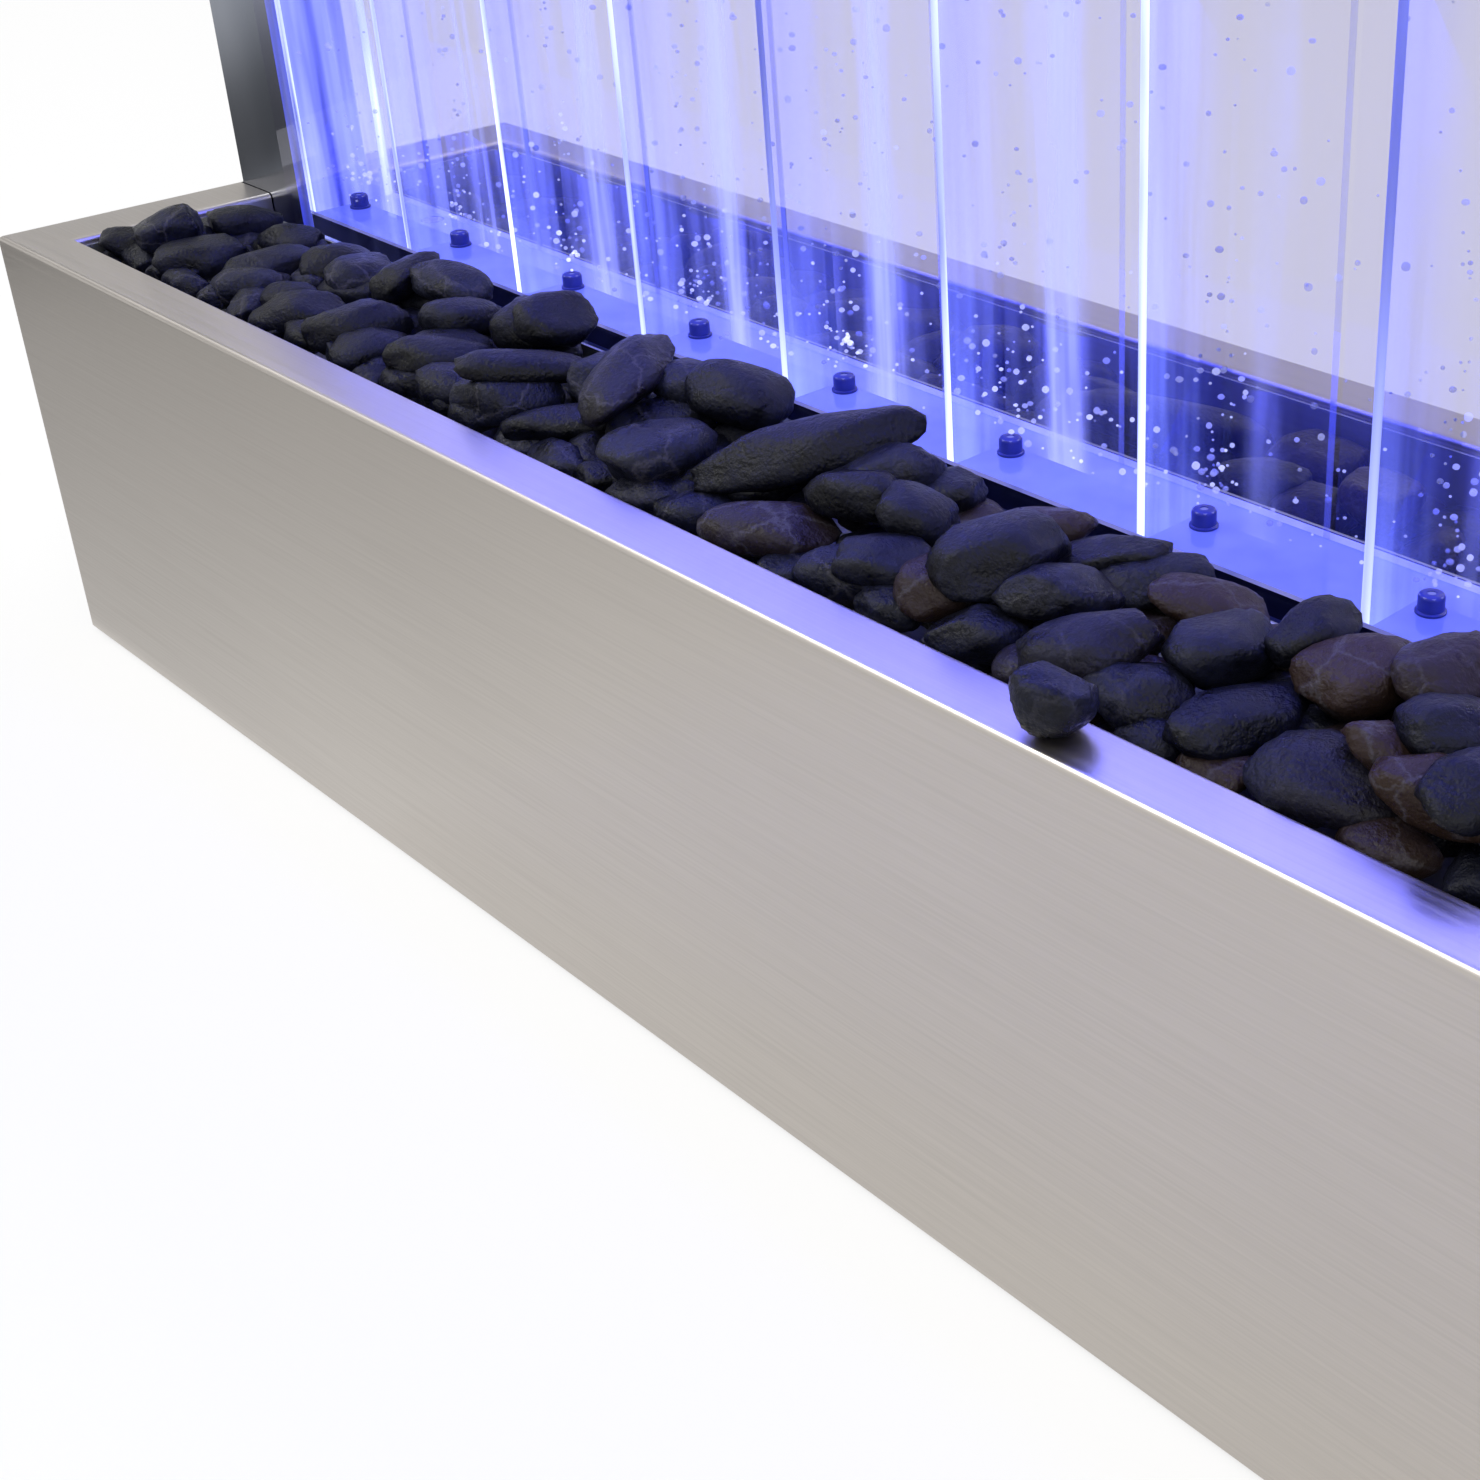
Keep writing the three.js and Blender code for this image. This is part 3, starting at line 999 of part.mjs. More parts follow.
/** A blunt, slightly uneven stone; its poles lie at the ends of its long side. */
function stoneGeometry({ shape, x, y, z, index }, around, rings) {
  const geometry = new THREE.SphereGeometry(1, around, rings).rotateZ(Math.PI / 2);
  const place = geometry.attributes.position;
  const point = new THREE.Vector3();
  const bluntShare = 0.88;
  const unevenShare = 0.05;
  for (let i = 0; i < place.count; i += 1) {
    point.fromBufferAttribute(place, i);
    const uneven = 1 - unevenShare * (1 + Math.sin(3 * point.x + 2 * point.y + index)) / 2;
    point.set(...point.toArray().map((value) => Math.sign(value) * Math.abs(value) ** bluntShare * uneven));
    place.setXYZ(i, point.x, point.y, point.z);
  }
  geometry.scale(shape.half.x, shape.half.y, shape.half.z);
  return geometry.applyQuaternion(shape.turn).translate(x, y, z);
}

/** A stone with the fill under it down to the bed, so that the heap is solid below what shows. */
function bedded(stoneBody, floor) {
  const footprint = stoneBody.project().extrude(STONE_BEDDING).translate([0, 0, floor - STONE_BEDDING]);
  return wasm.Manifold.hull([stoneBody, footprint]);
}

function buildTrays() {
  const outerX = BASE_LENGTH / 2 - END_RIM - FIT;
  const outerY = BASE_DEPTH / 2 - FRONT_RIM - FIT;
  const innerY = PANEL_DEPTH / 2 + TRAY_SLOT;
  const repeated = FRONT_STONE_SHARES.filter(([along]) => along + SHOWN_LENGTH_SHARE < 1).map(
    ([along, ...rest]) => [along + SHOWN_LENGTH_SHARE - REPEAT_OVERLAP_SHARE, ...rest],
  );
  const shown = [...FRONT_STONE_SHARES, ...repeated];
  const mirrored = shown.map(([along, across, ...rest]) => [1 - along, 1 - across, ...rest]);
  const trays = [
    { name: "front", side: -1, stones: shown, faces: [6, 4], bedHeight: FRONT_STONE_BED },
    { name: "rear", side: 1, stones: mirrored, faces: [6, 3], bedHeight: REAR_STONE_BED },
  ];
  for (const { name, side, stones, faces, bedHeight } of trays) {
    const y = [side * outerY, side * innerY].sort((a, b) => a - b);
    const pan = block([-outerX, outerX], y, [LEDGE_TOP, BASE_HEIGHT - TRAY_WALL_DROP]);
    const bottom = LEDGE_TOP + TRAY_SHEET;
    const hollow = block(
      [-outerX + TRAY_SHEET, outerX - TRAY_SHEET],
      [y[0] + TRAY_SHEET, y[1] - TRAY_SHEET],
      [bottom, BASE_HEIGHT + OVERRUN],
    );
    piece(`${name}_tray`, cutFrom(pan, hollow), innerSteel);

    const wallRoom = TRAY_SHEET + SEAT;
    const tray = {
      x0: -outerX + wallRoom,
      x1: outerX - wallRoom,
      y0: y[0] + wallRoom,
      y1: y[1] - wallRoom,
      floor: bottom + bedHeight,
    };
    const lying = [];
    stones.forEach((row) => layStone(lying, tray, faces, row));
    const bed = solidOf(block([tray.x0, tray.x1], [tray.y0, tray.y1], [bottom, tray.floor]));
    const heap = lying.reduce((whole, one) => whole.add(bedded(one.body, tray.floor)), bed);
    piece(`${name}_stones`, geometryOf(heap), stone);
  }
}

/** One stone that lies on the front rim, leaning inwards over the bed. */
function buildRimStone() {
  const alongShare = 0.645;
  const sizeShares = [0.7, 0.55, 0.45];
  const turnDeg = 20;
  const faces = [8, 5];
  const shape = stoneShape(sizeShares.map((share) => share * STONE), turnDeg);
  const x = -BASE_LENGTH / 2 + alongShare * BASE_LENGTH;
  const rough = stoneGeometry({ shape, x, y: 0, z: 0, index: 0 }, ...faces);
  rough.computeBoundingBox();
  const { min, max } = rough.boundingBox;
  const inwards = FRONT_RIM - BASE_DEPTH / 2 - SEAT - max.y;
  piece("rim_stone", rough.translate(0, inwards, BASE_HEIGHT + SEAT - min.z), stone);
}

buildBase();
buildPosts();
buildCradle();
buildPanel();
buildLighting();
buildAir();
buildDrain();
buildElectrics();
buildHatch();
buildHeader();
buildTrays();
buildRimStone();

export default wall;
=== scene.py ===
"""Bubble wall panel, dressed for the render.

A lit acrylic panel of upright water channels stands between two polished steel posts in a
folded, brushed stainless base. Dark river stones lie before and behind it. Each class below is
one sub-assembly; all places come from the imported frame, in metres, with +Z up.
"""

import logging
import math
import random
import sys
from abc import ABC, abstractmethod
from dataclasses import dataclass, field
from enum import Enum

import bmesh
import bpy
from mathutils import Matrix, Quaternion, Vector, noise
from mathutils.bvhtree import BVHTree


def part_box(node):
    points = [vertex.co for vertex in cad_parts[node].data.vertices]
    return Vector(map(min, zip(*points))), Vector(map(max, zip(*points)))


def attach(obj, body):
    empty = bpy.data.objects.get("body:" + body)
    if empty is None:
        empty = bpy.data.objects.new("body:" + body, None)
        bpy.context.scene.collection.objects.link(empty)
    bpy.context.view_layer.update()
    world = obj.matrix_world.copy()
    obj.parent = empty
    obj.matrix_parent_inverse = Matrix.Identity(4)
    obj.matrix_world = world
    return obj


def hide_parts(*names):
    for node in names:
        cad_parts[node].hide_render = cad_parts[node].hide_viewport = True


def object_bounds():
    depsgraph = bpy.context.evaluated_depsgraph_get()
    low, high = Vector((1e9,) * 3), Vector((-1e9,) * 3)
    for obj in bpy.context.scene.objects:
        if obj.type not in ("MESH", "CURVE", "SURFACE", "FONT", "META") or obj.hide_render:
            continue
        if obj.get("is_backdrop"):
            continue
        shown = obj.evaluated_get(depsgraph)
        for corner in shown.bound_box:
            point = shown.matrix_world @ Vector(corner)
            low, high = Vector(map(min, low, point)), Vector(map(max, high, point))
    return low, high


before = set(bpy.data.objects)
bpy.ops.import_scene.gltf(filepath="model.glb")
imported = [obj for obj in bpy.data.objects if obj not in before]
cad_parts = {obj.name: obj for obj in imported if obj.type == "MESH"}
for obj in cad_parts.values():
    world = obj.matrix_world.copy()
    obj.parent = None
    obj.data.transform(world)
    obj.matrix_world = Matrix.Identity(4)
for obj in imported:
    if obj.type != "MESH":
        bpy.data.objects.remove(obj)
cad_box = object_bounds()

log = logging.getLogger("bubble_wall")
MM = 0.001
Point = tuple[float, float, float]


def linear(code: str) -> tuple[float, float, float, float]:
    """Turns an sRGB hex colour to linear light.

    Args:
        code: Six hex digits, such as "b4aea9".

    Returns:
        Red, green, blue and an alpha of 1.
    """
    shares = [int(code[i : i + 2], 16) / 255 for i in (0, 2, 4)]
    bright = [s / 12.92 if s <= 0.04045 else ((s + 0.055) / 1.055) ** 2.4 for s in shares]
    return (*bright, 1.0)


def add_node(
    tree: bpy.types.NodeTree, kind: str, inputs: dict | None = None, **settings: object
) -> bpy.types.Node:
    """Adds one shader node with its settings and links.

    Args:
        tree: The node tree to add to.
        kind: The node's type name, without its ShaderNode prefix.
        inputs: Input name or number to a plain value, or to the socket that feeds it.
        **settings: The node's own attributes.

    Returns:
        The new node.
    """
    node = tree.nodes.new("ShaderNode" + kind)
    for name, value in settings.items():
        setattr(node, name, value)
    for name, value in (inputs or {}).items():
        if isinstance(value, bpy.types.NodeSocket):
            tree.links.new(value, node.inputs[name])
        else:
            node.inputs[name].default_value = value
    return node


def per_metre(size_mm: float) -> float:
    """Gives a pattern's scale in repeats per metre from its real size in millimetres."""
    return 1 / (size_mm * MM)


class Body(Enum):
    """The CAD bodies that the pieces ride on."""

    WALL = "wall"
    FILL_LID = "fill_lid"
    FRONT_BED = "front_bed"
    REAR_BED = "rear_bed"
    HATCH = "service_hatch"
    SWITCH = "power_switch"
    KNOB = "flow_knob"
    LEVER = "drain_lever"


@dataclass(frozen=True)
class Finish(ABC):
    """A material's surface: what it is and how it was made."""

    name: str
    slot: str

    def material(self) -> bpy.types.Material:
        """Gives the finish's material, which is built the first time it is asked for."""
        found = bpy.data.materials.get(self.name)
        if found:
            return found
        made = bpy.data.materials.new(self.name)
        made.use_nodes = True
        tree = made.node_tree
        tree.nodes.clear()
        output = add_node(tree, "OutputMaterial")
        tree.links.new(self.surface(tree), output.inputs["Surface"])
        return made

    @abstractmethod
    def surface(self, tree: bpy.types.NodeTree) -> bpy.types.NodeSocket:
        """Builds the shader and gives its output."""

    def place(self, tree: bpy.types.NodeTree, stretch: Point = (1, 1, 1)) -> bpy.types.NodeSocket:
        """Gives the place on the piece in metres, stretched along each axis."""
        where = add_node(tree, "TexCoord").outputs["Object"]
        return add_node(tree, "Mapping", {"Vector": where, "Scale": stretch}).outputs["Vector"]


@dataclass(frozen=True)
class BrushedSteel(Finish):
    """Stainless steel brushed along the sheet: fine lines that draw the highlights out along X."""

    colour: str = "c0bab3"
    darker: str = "a19b96"
    roughness: float = 0.34
    line_mm: float = 1.1

    def surface(self, tree: bpy.types.NodeTree) -> bpy.types.NodeSocket:
        """Builds the brushed steel. The lines are drawn coarser than real grit, so that they show."""
        stretch = (0.012, 1.0, 1.0)
        lines = add_node(
            tree,
            "TexNoise",
            {"Vector": self.place(tree, stretch), "Scale": per_metre(self.line_mm), "Detail": 3.0},
        )
        clouds = add_node(
            tree, "TexNoise", {"Vector": self.place(tree), "Scale": per_metre(420), "Detail": 2.0}
        )
        tone = add_node(
            tree,
            "MapRange",
            {"Value": lines.outputs["Fac"], "From Min": 0.3, "From Max": 0.7, "To Min": 0.35, "To Max": 0.65},
        )
        blend = add_node(
            tree, "Math", {0: tone.outputs["Result"], 1: clouds.outputs["Fac"]}, operation="MULTIPLY"
        )
        colour = add_node(
            tree,
            "Mix",
            {"Factor": blend.outputs[0], "A": linear(self.colour), "B": linear(self.darker)},
            data_type="RGBA",
        )
        rough = add_node(
            tree,
            "MapRange",
            {
                "Value": lines.outputs["Fac"],
                "From Min": 0.3,
                "From Max": 0.7,
                "To Min": self.roughness - 0.05,
                "To Max": self.roughness + 0.05,
            },
        )
        bump = add_node(
            tree, "Bump", {"Height": lines.outputs["Fac"], "Strength": 0.08, "Distance": 0.05 * MM}
        )
        shader = add_node(
            tree,
            "BsdfPrincipled",
            {
                "Base Color": colour.outputs[2],
                "Metallic": 1.0,
                "Roughness": rough.outputs["Result"],
                "Normal": bump.outputs["Normal"],
            },
        )
        return shader.outputs[0]


@dataclass(frozen=True)
class PolishedSteel(Finish):
    """Stainless steel polished to a mirror. Its dark colour is painted shade, the reflection of darker surroundings,
    and its lighter upright noise bands are painted reflections of the room.
    """

    # A dark colour for a mirror: painted shade, the reflection of darker surroundings.
    colour: str = "5b6270"
    painted_reflection_tone: str = "9a9ea9"
    roughness: float = 0.16

    def surface(self, tree: bpy.types.NodeTree) -> bpy.types.NodeSocket:
        """Builds the mirror steel: the faint swirls that a polishing wheel leaves, in its roughness, and painted
        reflection bands, in its colour.
        """
        place = self.place(tree)
        swirl = add_node(tree, "TexNoise", {"Vector": place, "Scale": per_metre(60), "Detail": 4.0})
        # Upright noise bands that mix in the lighter tone: painted reflections of the room.
        tall = self.place(tree, (6.0, 6.0, 1.0))
        painted_reflection_bands = add_node(tree, "TexNoise", {"Vector": tall, "Scale": per_metre(260), "Detail": 1.0})
        colour = add_node(
            tree,
            "Mix",
            {"Factor": painted_reflection_bands.outputs["Fac"], "A": linear(self.colour), "B": linear(self.painted_reflection_tone)},
            data_type="RGBA",
        )
        rough = add_node(
            tree,
            "MapRange",
            {"Value": swirl.outputs["Fac"], "To Min": self.roughness - 0.05, "To Max": self.roughness + 0.08},
        )
        shader = add_node(
            tree,
            "BsdfPrincipled",
            {"Base Color": colour.outputs[2], "Metallic": 1.0, "Roughness": rough.outputs["Result"]},
        )
        return shader.outputs[0]


@dataclass(frozen=True)
class SheetMetal(Finish):
    """Plain metal as it leaves the rolling mill, press or lathe: dull, with a fine streaky tone."""

    colour: str = "9fa1a2"
    darker: str = "85878a"
    roughness: float = 0.45
    grain_mm: float = 2.5
    stretch: Point = (0.1, 1.0, 1.0)

    def surface(self, tree: bpy.types.NodeTree) -> bpy.types.NodeSocket:
        """Builds the metal, streaked along its rolling direction."""
        grain = add_node(
            tree,
            "TexNoise",
            {"Vector": self.place(tree, self.stretch), "Scale": per_metre(self.grain_mm), "Detail": 3.0},
        )
        colour = add_node(
            tree,
            "Mix",
            {"Factor": grain.outputs["Fac"], "A": linear(self.colour), "B": linear(self.darker)},
            data_type="RGBA",
        )
        rough = add_node(
            tree,
            "MapRange",
            {"Value": grain.outputs["Fac"], "To Min": self.roughness - 0.08, "To Max": self.roughness + 0.08},
        )
        shader = add_node(
            tree,
            "BsdfPrincipled",
            {"Base Color": colour.outputs[2], "Metallic": 1.0, "Roughness": rough.outputs["Result"]},
        )
        return shader.outputs[0]


@dataclass(frozen=True)
class Moulded(Finish):
    """Moulded plastic or rubber: an even colour with a fine spark-eroded grain."""

    colour: str = "17181a"
    roughness: float = 0.5
    grain_mm: float = 0.9
    depth: float = 0.25
    opacity: float = 1.0

    def surface(self, tree: bpy.types.NodeTree) -> bpy.types.NodeSocket:
        """Builds the moulded skin. Its grain is drawn a little coarser than the real one."""
        place = self.place(tree)
        grain = add_node(tree, "TexNoise", {"Vector": place, "Scale": per_metre(self.grain_mm), "Detail": 2.0})
        cloud = add_node(tree, "TexNoise", {"Vector": place, "Scale": per_metre(45), "Detail": 2.0})
        rough = add_node(
            tree,
            "MapRange",
            {"Value": cloud.outputs["Fac"], "To Min": self.roughness - 0.07, "To Max": self.roughness + 0.07},
        )
        bump = add_node(
            tree, "Bump", {"Height": grain.outputs["Fac"], "Strength": self.depth, "Distance": 0.1 * MM}
        )
        shader = add_node(
            tree,
            "BsdfPrincipled",
            {
                "Base Color": linear(self.colour),
                "Roughness": rough.outputs["Result"],
                "Normal": bump.outputs["Normal"],
                "Alpha": self.opacity,
                "IOR": 1.5,
            },
        )
        return shader.outputs[0]


@dataclass(frozen=True)
class RiverStone(Finish):
    """Dark tumbled river stone: worn, mottled and faintly veined. Its paler speckle carries a painted blue cast from
    the panel's glow, and it turns browner towards the right end: partly each stone's own chance, partly the painted
    fading of that glow.
    """

    colour: str = "07080f"
    # Navy-tinted: partly the paler stone, partly painted blue glow from the panel.
    paler_with_painted_blue: str = "1b1d2d"
    brown: str = "2e2118"
    vein: str = "4d4b52"
    mottle_mm: float = 11.0
    pit_mm: float = 1.8
    vein_mm: float = 26.0

    def surface(self, tree: bpy.types.NodeTree) -> bpy.types.NodeSocket:
        """Builds the stone. Each loose stone takes its own tone, by chance."""
        place = self.place(tree)
        mottle = add_node(
            tree,
            "TexNoise",
            {"Vector": place, "Scale": per_metre(self.mottle_mm), "Detail": 6.0, "Roughness": 0.65},
        )
        pits = add_node(tree, "TexNoise", {"Vector": place, "Scale": per_metre(self.pit_mm), "Detail": 4.0})
        chance = add_node(tree, "NewGeometry").outputs["Random Per Island"]
        speckle = add_node(
            tree, "MapRange", {"Value": mottle.outputs["Fac"], "From Min": 0.38, "From Max": 0.68}
        )
        tone = add_node(
            tree,
            "Mix",
            {"Factor": speckle.outputs["Result"], "A": linear(self.colour), "B": linear(self.paler_with_painted_blue)},
            data_type="RGBA",
        )
        own = add_node(tree, "MapRange", {"Value": chance, "To Min": 0.35, "To Max": 1.25})
        shaded = add_node(tree, "VectorMath", {0: tone.outputs[2]}, operation="SCALE")
        tree.links.new(own.outputs["Result"], shaded.inputs["Scale"])
        # Brown rises towards the right end: painted fading of the panel's blue glow, mixed with each stone's own
        # chance.
        along = add_node(tree, "SeparateXYZ", {"Vector": place}).outputs["X"]
        lean = add_node(tree, "Math", {0: along, 1: 1.2, 2: chance}, operation="MULTIPLY_ADD")
        brown_and_glow_fade = add_node(
            tree,
            "MapRange",
            {"Value": lean.outputs[0], "From Min": 0.8, "From Max": 1.15, "To Max": 0.8},
        )
        cast = add_node(
            tree,
            "Mix",
            {"Factor": brown_and_glow_fade.outputs["Result"], "A": shaded.outputs[0], "B": linear(self.brown)},
            data_type="RGBA",
        )
        bent = add_node(
            tree, "Mix", {"Factor": 0.012, "A": place, "B": mottle.outputs["Color"]}, data_type="VECTOR"
        )
        cells = add_node(
            tree,
            "TexVoronoi",
            {"Vector": bent.outputs["Result"], "Scale": per_metre(self.vein_mm)},
            feature="DISTANCE_TO_EDGE",
        )
        line = add_node(
            tree,
            "MapRange",
            {"Value": cells.outputs["Distance"], "From Max": 0.035, "To Min": 0.5, "To Max": 0.0},
        )
        veined = add_node(tree, "MapRange", {"Value": chance, "From Min": 0.45, "From Max": 0.9})
        share = add_node(
            tree, "Math", {0: line.outputs["Result"], 1: veined.outputs["Result"]}, operation="MULTIPLY"
        )
        colour = add_node(
            tree,
            "Mix",
            {"Factor": share.outputs[0], "A": cast.outputs[2], "B": linear(self.vein)},
            data_type="RGBA",
        )
        rough = add_node(
            tree,
            "MapRange",
            {"Value": mottle.outputs["Fac"], "From Min": 0.35, "From Max": 0.65, "To Min": 0.26, "To Max": 0.52},
        )
        rise = add_node(
            tree, "Math", {0: mottle.outputs["Fac"], 1: 1.6, 2: pits.outputs["Fac"]}, operation="MULTIPLY_ADD"
        )
        bump = add_node(tree, "Bump", {"Height": rise.outputs[0], "Strength": 0.7, "Distance": 1.1 * MM})
        shader = add_node(
            tree,
            "BsdfPrincipled",
            {
                "Base Color": colour.outputs[2],
                "Roughness": rough.outputs["Result"],
                "Normal": bump.outputs["Normal"],
                "IOR": 1.54,
                "Specular IOR Level": 0.13,
            },
        )
        return shader.outputs[0]


GLOW_DEEP = "3a46ff"
GLOW_PALE = "b9c6ff"


@dataclass(frozen=True)
class Glow:
    """How the light from under the tank floor falls off as it climbs through the water."""

    floor_z: float
    reach: float = 0.34
    least: float = 0.06
    streak_mm: float = 30
    uneven: tuple[float, float] = (0.45, 1.35)

    def share(self, tree: bpy.types.NodeTree) -> bpy.types.NodeSocket:
        """Gives the share of the light that is left at a height, uneven from place to place."""
        where = add_node(tree, "TexCoord").outputs["Object"]
        parts = add_node(tree, "SeparateXYZ", {"Vector": where})
        climb = add_node(tree, "Math", {0: parts.outputs["Z"], 1: -self.floor_z}, operation="ADD")
        fall = add_node(tree, "Math", {0: climb.outputs[0], 1: -1 / self.reach}, operation="MULTIPLY")
        left = add_node(tree, "Math", {0: fall.outputs[0]}, operation="EXPONENT", use_clamp=True)
        kept = add_node(tree, "Math", {0: left.outputs[0], 1: self.least}, operation="MAXIMUM")
        tall = add_node(tree, "Mapping", {"Vector": where, "Scale": (1.0, 1.0, 0.06)})
        noise_tone = add_node(
            tree,
            "TexNoise",
            {"Vector": tall.outputs["Vector"], "Scale": per_metre(self.streak_mm), "Detail": 2.0},
        )
        streaks = add_node(
            tree,
            "MapRange",
            {
                "Value": noise_tone.outputs["Fac"],
                "From Min": 0.3,
                "From Max": 0.7,
                "To Min": self.uneven[0],
                "To Max": self.uneven[1],
            },
        )
        both = add_node(
            tree, "Math", {0: kept.outputs[0], 1: streaks.outputs["Result"]}, operation="MULTIPLY"
        )
        return both.outputs[0]


@dataclass(frozen=True)
class PanelFace(Finish):
    """Outer face of the cast acrylic sheet: polished, clear and a little lavender."""

    tint: str = "e4e3ee"
    mirror: str = "e8e8f4"
    ior: float = 1.14

    def surface(self, tree: bpy.types.NodeTree) -> bpy.types.NodeSocket:
        """Builds the face: clear head-on, and more of a mirror the flatter it is seen."""
        through = add_node(tree, "BsdfTransparent", {"Color": linear(self.tint)})
        shine = add_node(
            tree, "BsdfPrincipled", {"Base Color": linear(self.mirror), "Metallic": 1.0, "Roughness": 0.03}
        )
        share = add_node(tree, "Fresnel", {"IOR": self.ior})
        return add_node(
            tree, "MixShader", {0: share.outputs[0], 1: through.outputs[0], 2: shine.outputs[0]}
        ).outputs[0]


@dataclass(frozen=True)
class LitAcrylic(Finish):
    """Cast acrylic lit from below: its cut edges shine and its faces hold a haze of blue."""

    glow: Glow = Glow(0.235, streak_mm=9, uneven=(0.0, 1.9))
    colour: str = "7f8ce0"
    edge_body: str = "7f8ce0"
    edge_colour: str = GLOW_PALE
    edge: float = 2.4
    edge_opacity: float = 1.0
    haze_colour: str = "7686ff"
    haze: float = 0.62
    opacity: float = 0.22
    rear_share: float = 0.0
    roughness: float = 0.1

    def surface(self, tree: bpy.types.NodeTree) -> bpy.types.NodeSocket:
        """Builds the acrylic. The faces that look to the front and the rear are its cut edges.

        Light leaves a face outwards only, so from inside the acrylic each face is clear. On the
        other faces the haze thins towards the rear.
        """
        geometry = add_node(tree, "NewGeometry").outputs
        outside = add_node(tree, "Math", {0: 1.0, 1: geometry["Backfacing"]}, operation="SUBTRACT")
        depth = add_node(tree, "SeparateXYZ", {"Vector": self.place(tree)}).outputs["Y"]
        thinned = add_node(
            tree,
            "MapRange",
            {"Value": depth, "From Min": -0.024, "From Max": 0.021, "To Min": self.opacity,
             "To Max": self.opacity * self.rear_share},
            interpolation_type="SMOOTHSTEP",
        )
        facing = add_node(tree, "SeparateXYZ", {"Vector": geometry["True Normal"]})
        away = add_node(tree, "Math", {0: facing.outputs["Y"]}, operation="ABSOLUTE")
        is_edge = add_node(tree, "Math", {0: away.outputs[0], 1: 0.5}, operation="GREATER_THAN").outputs[0]
        strength = add_node(
            tree,
            "MapRange",
            {"Value": is_edge, "To Min": self.haze / self.opacity, "To Max": self.edge / self.edge_opacity},
        )
        lit = add_node(
            tree,
            "Math",
            {0: strength.outputs["Result"], 1: self.glow.share(tree)},
            operation="MULTIPLY",
        )
        tone = add_node(
            tree,
            "Mix",
            {"Factor": is_edge, "A": linear(self.haze_colour), "B": linear(self.edge_colour)},
            data_type="RGBA",
        )
        cover = add_node(
            tree,
            "MapRange",
            {"Value": is_edge, "To Min": thinned.outputs["Result"], "To Max": self.edge_opacity},
        )
        alpha = add_node(
            tree, "Math", {0: cover.outputs["Result"], 1: outside.outputs[0]}, operation="MULTIPLY"
        )
        body = add_node(
            tree,
            "Mix",
            {"Factor": is_edge, "A": linear(self.colour), "B": linear(self.edge_body)},
            data_type="RGBA",
        )
        shader = add_node(
            tree,
            "BsdfPrincipled",
            {
                "Base Color": body.outputs[2],
                "Roughness": self.roughness,
                "IOR": 1.49,
                "Emission Color": tone.outputs[2],
                "Emission Strength": lit.outputs[0],
                "Alpha": alpha.outputs[0],
            },
        )
        return shader.outputs[0]


@dataclass(frozen=True)
class BubbleMist(Finish):
    """Air too fine to see as single bubbles: a pale veil that stands where the stream climbs."""

    glow: Glow = Glow(0.235, 0.36, 0.05, 9, (0.2, 1.7))
    pitch: float = 0.100
    stream_share: float = 0.34
    stream_half: float = 0.20
    light: float = 1.05
    veil: tuple[float, float] = (0.34, 0.03)
    ends: tuple[float, float] = (-0.45, 0.15)
    opacity: float = 0.62

    def surface(self, tree: bpy.types.NodeTree) -> bpy.types.NodeSocket:
        """Builds the veil: dense over the stream, thin beside it, and thinner towards the right."""
        where = add_node(tree, "TexCoord").outputs["Object"]
        parts = add_node(tree, "SeparateXYZ", {"Vector": where})
        steps = add_node(
            tree, "Math", {0: parts.outputs["X"], 1: 1 / self.pitch}, operation="MULTIPLY"
        )
        along = add_node(tree, "Math", {0: steps.outputs[0]}, operation="FRACT")
        off = add_node(tree, "Math", {0: along.outputs[0], 1: self.stream_share}, operation="SUBTRACT")
        far = add_node(tree, "Math", {0: off.outputs[0]}, operation="ABSOLUTE")
        stream = add_node(
            tree,
            "MapRange",
            {"Value": far.outputs[0], "From Max": self.stream_half, "To Min": 1.0, "To Max": 0.0},
            interpolation_type="SMOOTHSTEP",
        )
        beside = add_node(
            tree,
            "MapRange",
            {
                "Value": parts.outputs["X"],
                "From Min": self.ends[0],
                "From Max": self.ends[1],
                "To Min": self.veil[0],
                "To Max": self.veil[1],
            },
        )
        thick = add_node(
            tree, "Math", {0: stream.outputs["Result"], 1: beside.outputs["Result"]}, operation="MAXIMUM"
        )
        share = add_node(
            tree, "Math", {0: self.glow.share(tree), 1: thick.outputs[0]}, operation="MULTIPLY"
        )
        alpha = add_node(
            tree, "Math", {0: share.outputs[0], 1: self.opacity}, operation="MULTIPLY", use_clamp=True
        )
        shader = add_node(
            tree,
            "BsdfPrincipled",
            {
                "Base Color": linear("a5adea"),
                "Roughness": 0.9,
                "Emission Color": linear("b3bdff"),
                "Emission Strength": self.light,
                "Alpha": alpha.outputs[0],
            },
        )
        return shader.outputs[0]


@dataclass(frozen=True)
class AirBubble(Finish):
    """A bubble of air in the water: a white bead near the light, a grey-blue speck far above it."""

    glow: Glow = Glow(0.235, 0.10, 0.0)
    colour: str = "9298c0"
    opacity: float = 0.3
    light: float = 2.4

    def surface(self, tree: bpy.types.NodeTree) -> bpy.types.NodeSocket:
        """Builds the bead. Its tone changes from bubble to bubble."""
        chance = add_node(tree, "NewGeometry").outputs["Random Per Island"]
        own = add_node(tree, "MapRange", {"Value": chance, "To Max": self.light})
        strength = add_node(
            tree, "Math", {0: own.outputs["Result"], 1: self.glow.share(tree)}, operation="MULTIPLY"
        )
        shader = add_node(
            tree,
            "BsdfPrincipled",
            {
                "Base Color": linear(self.colour),
                "Roughness": 0.15,
                "IOR": 1.33,
                "Emission Color": linear("dfe5ff"),
                "Emission Strength": strength.outputs[0],
                "Alpha": self.opacity,
            },
        )
        return shader.outputs[0]


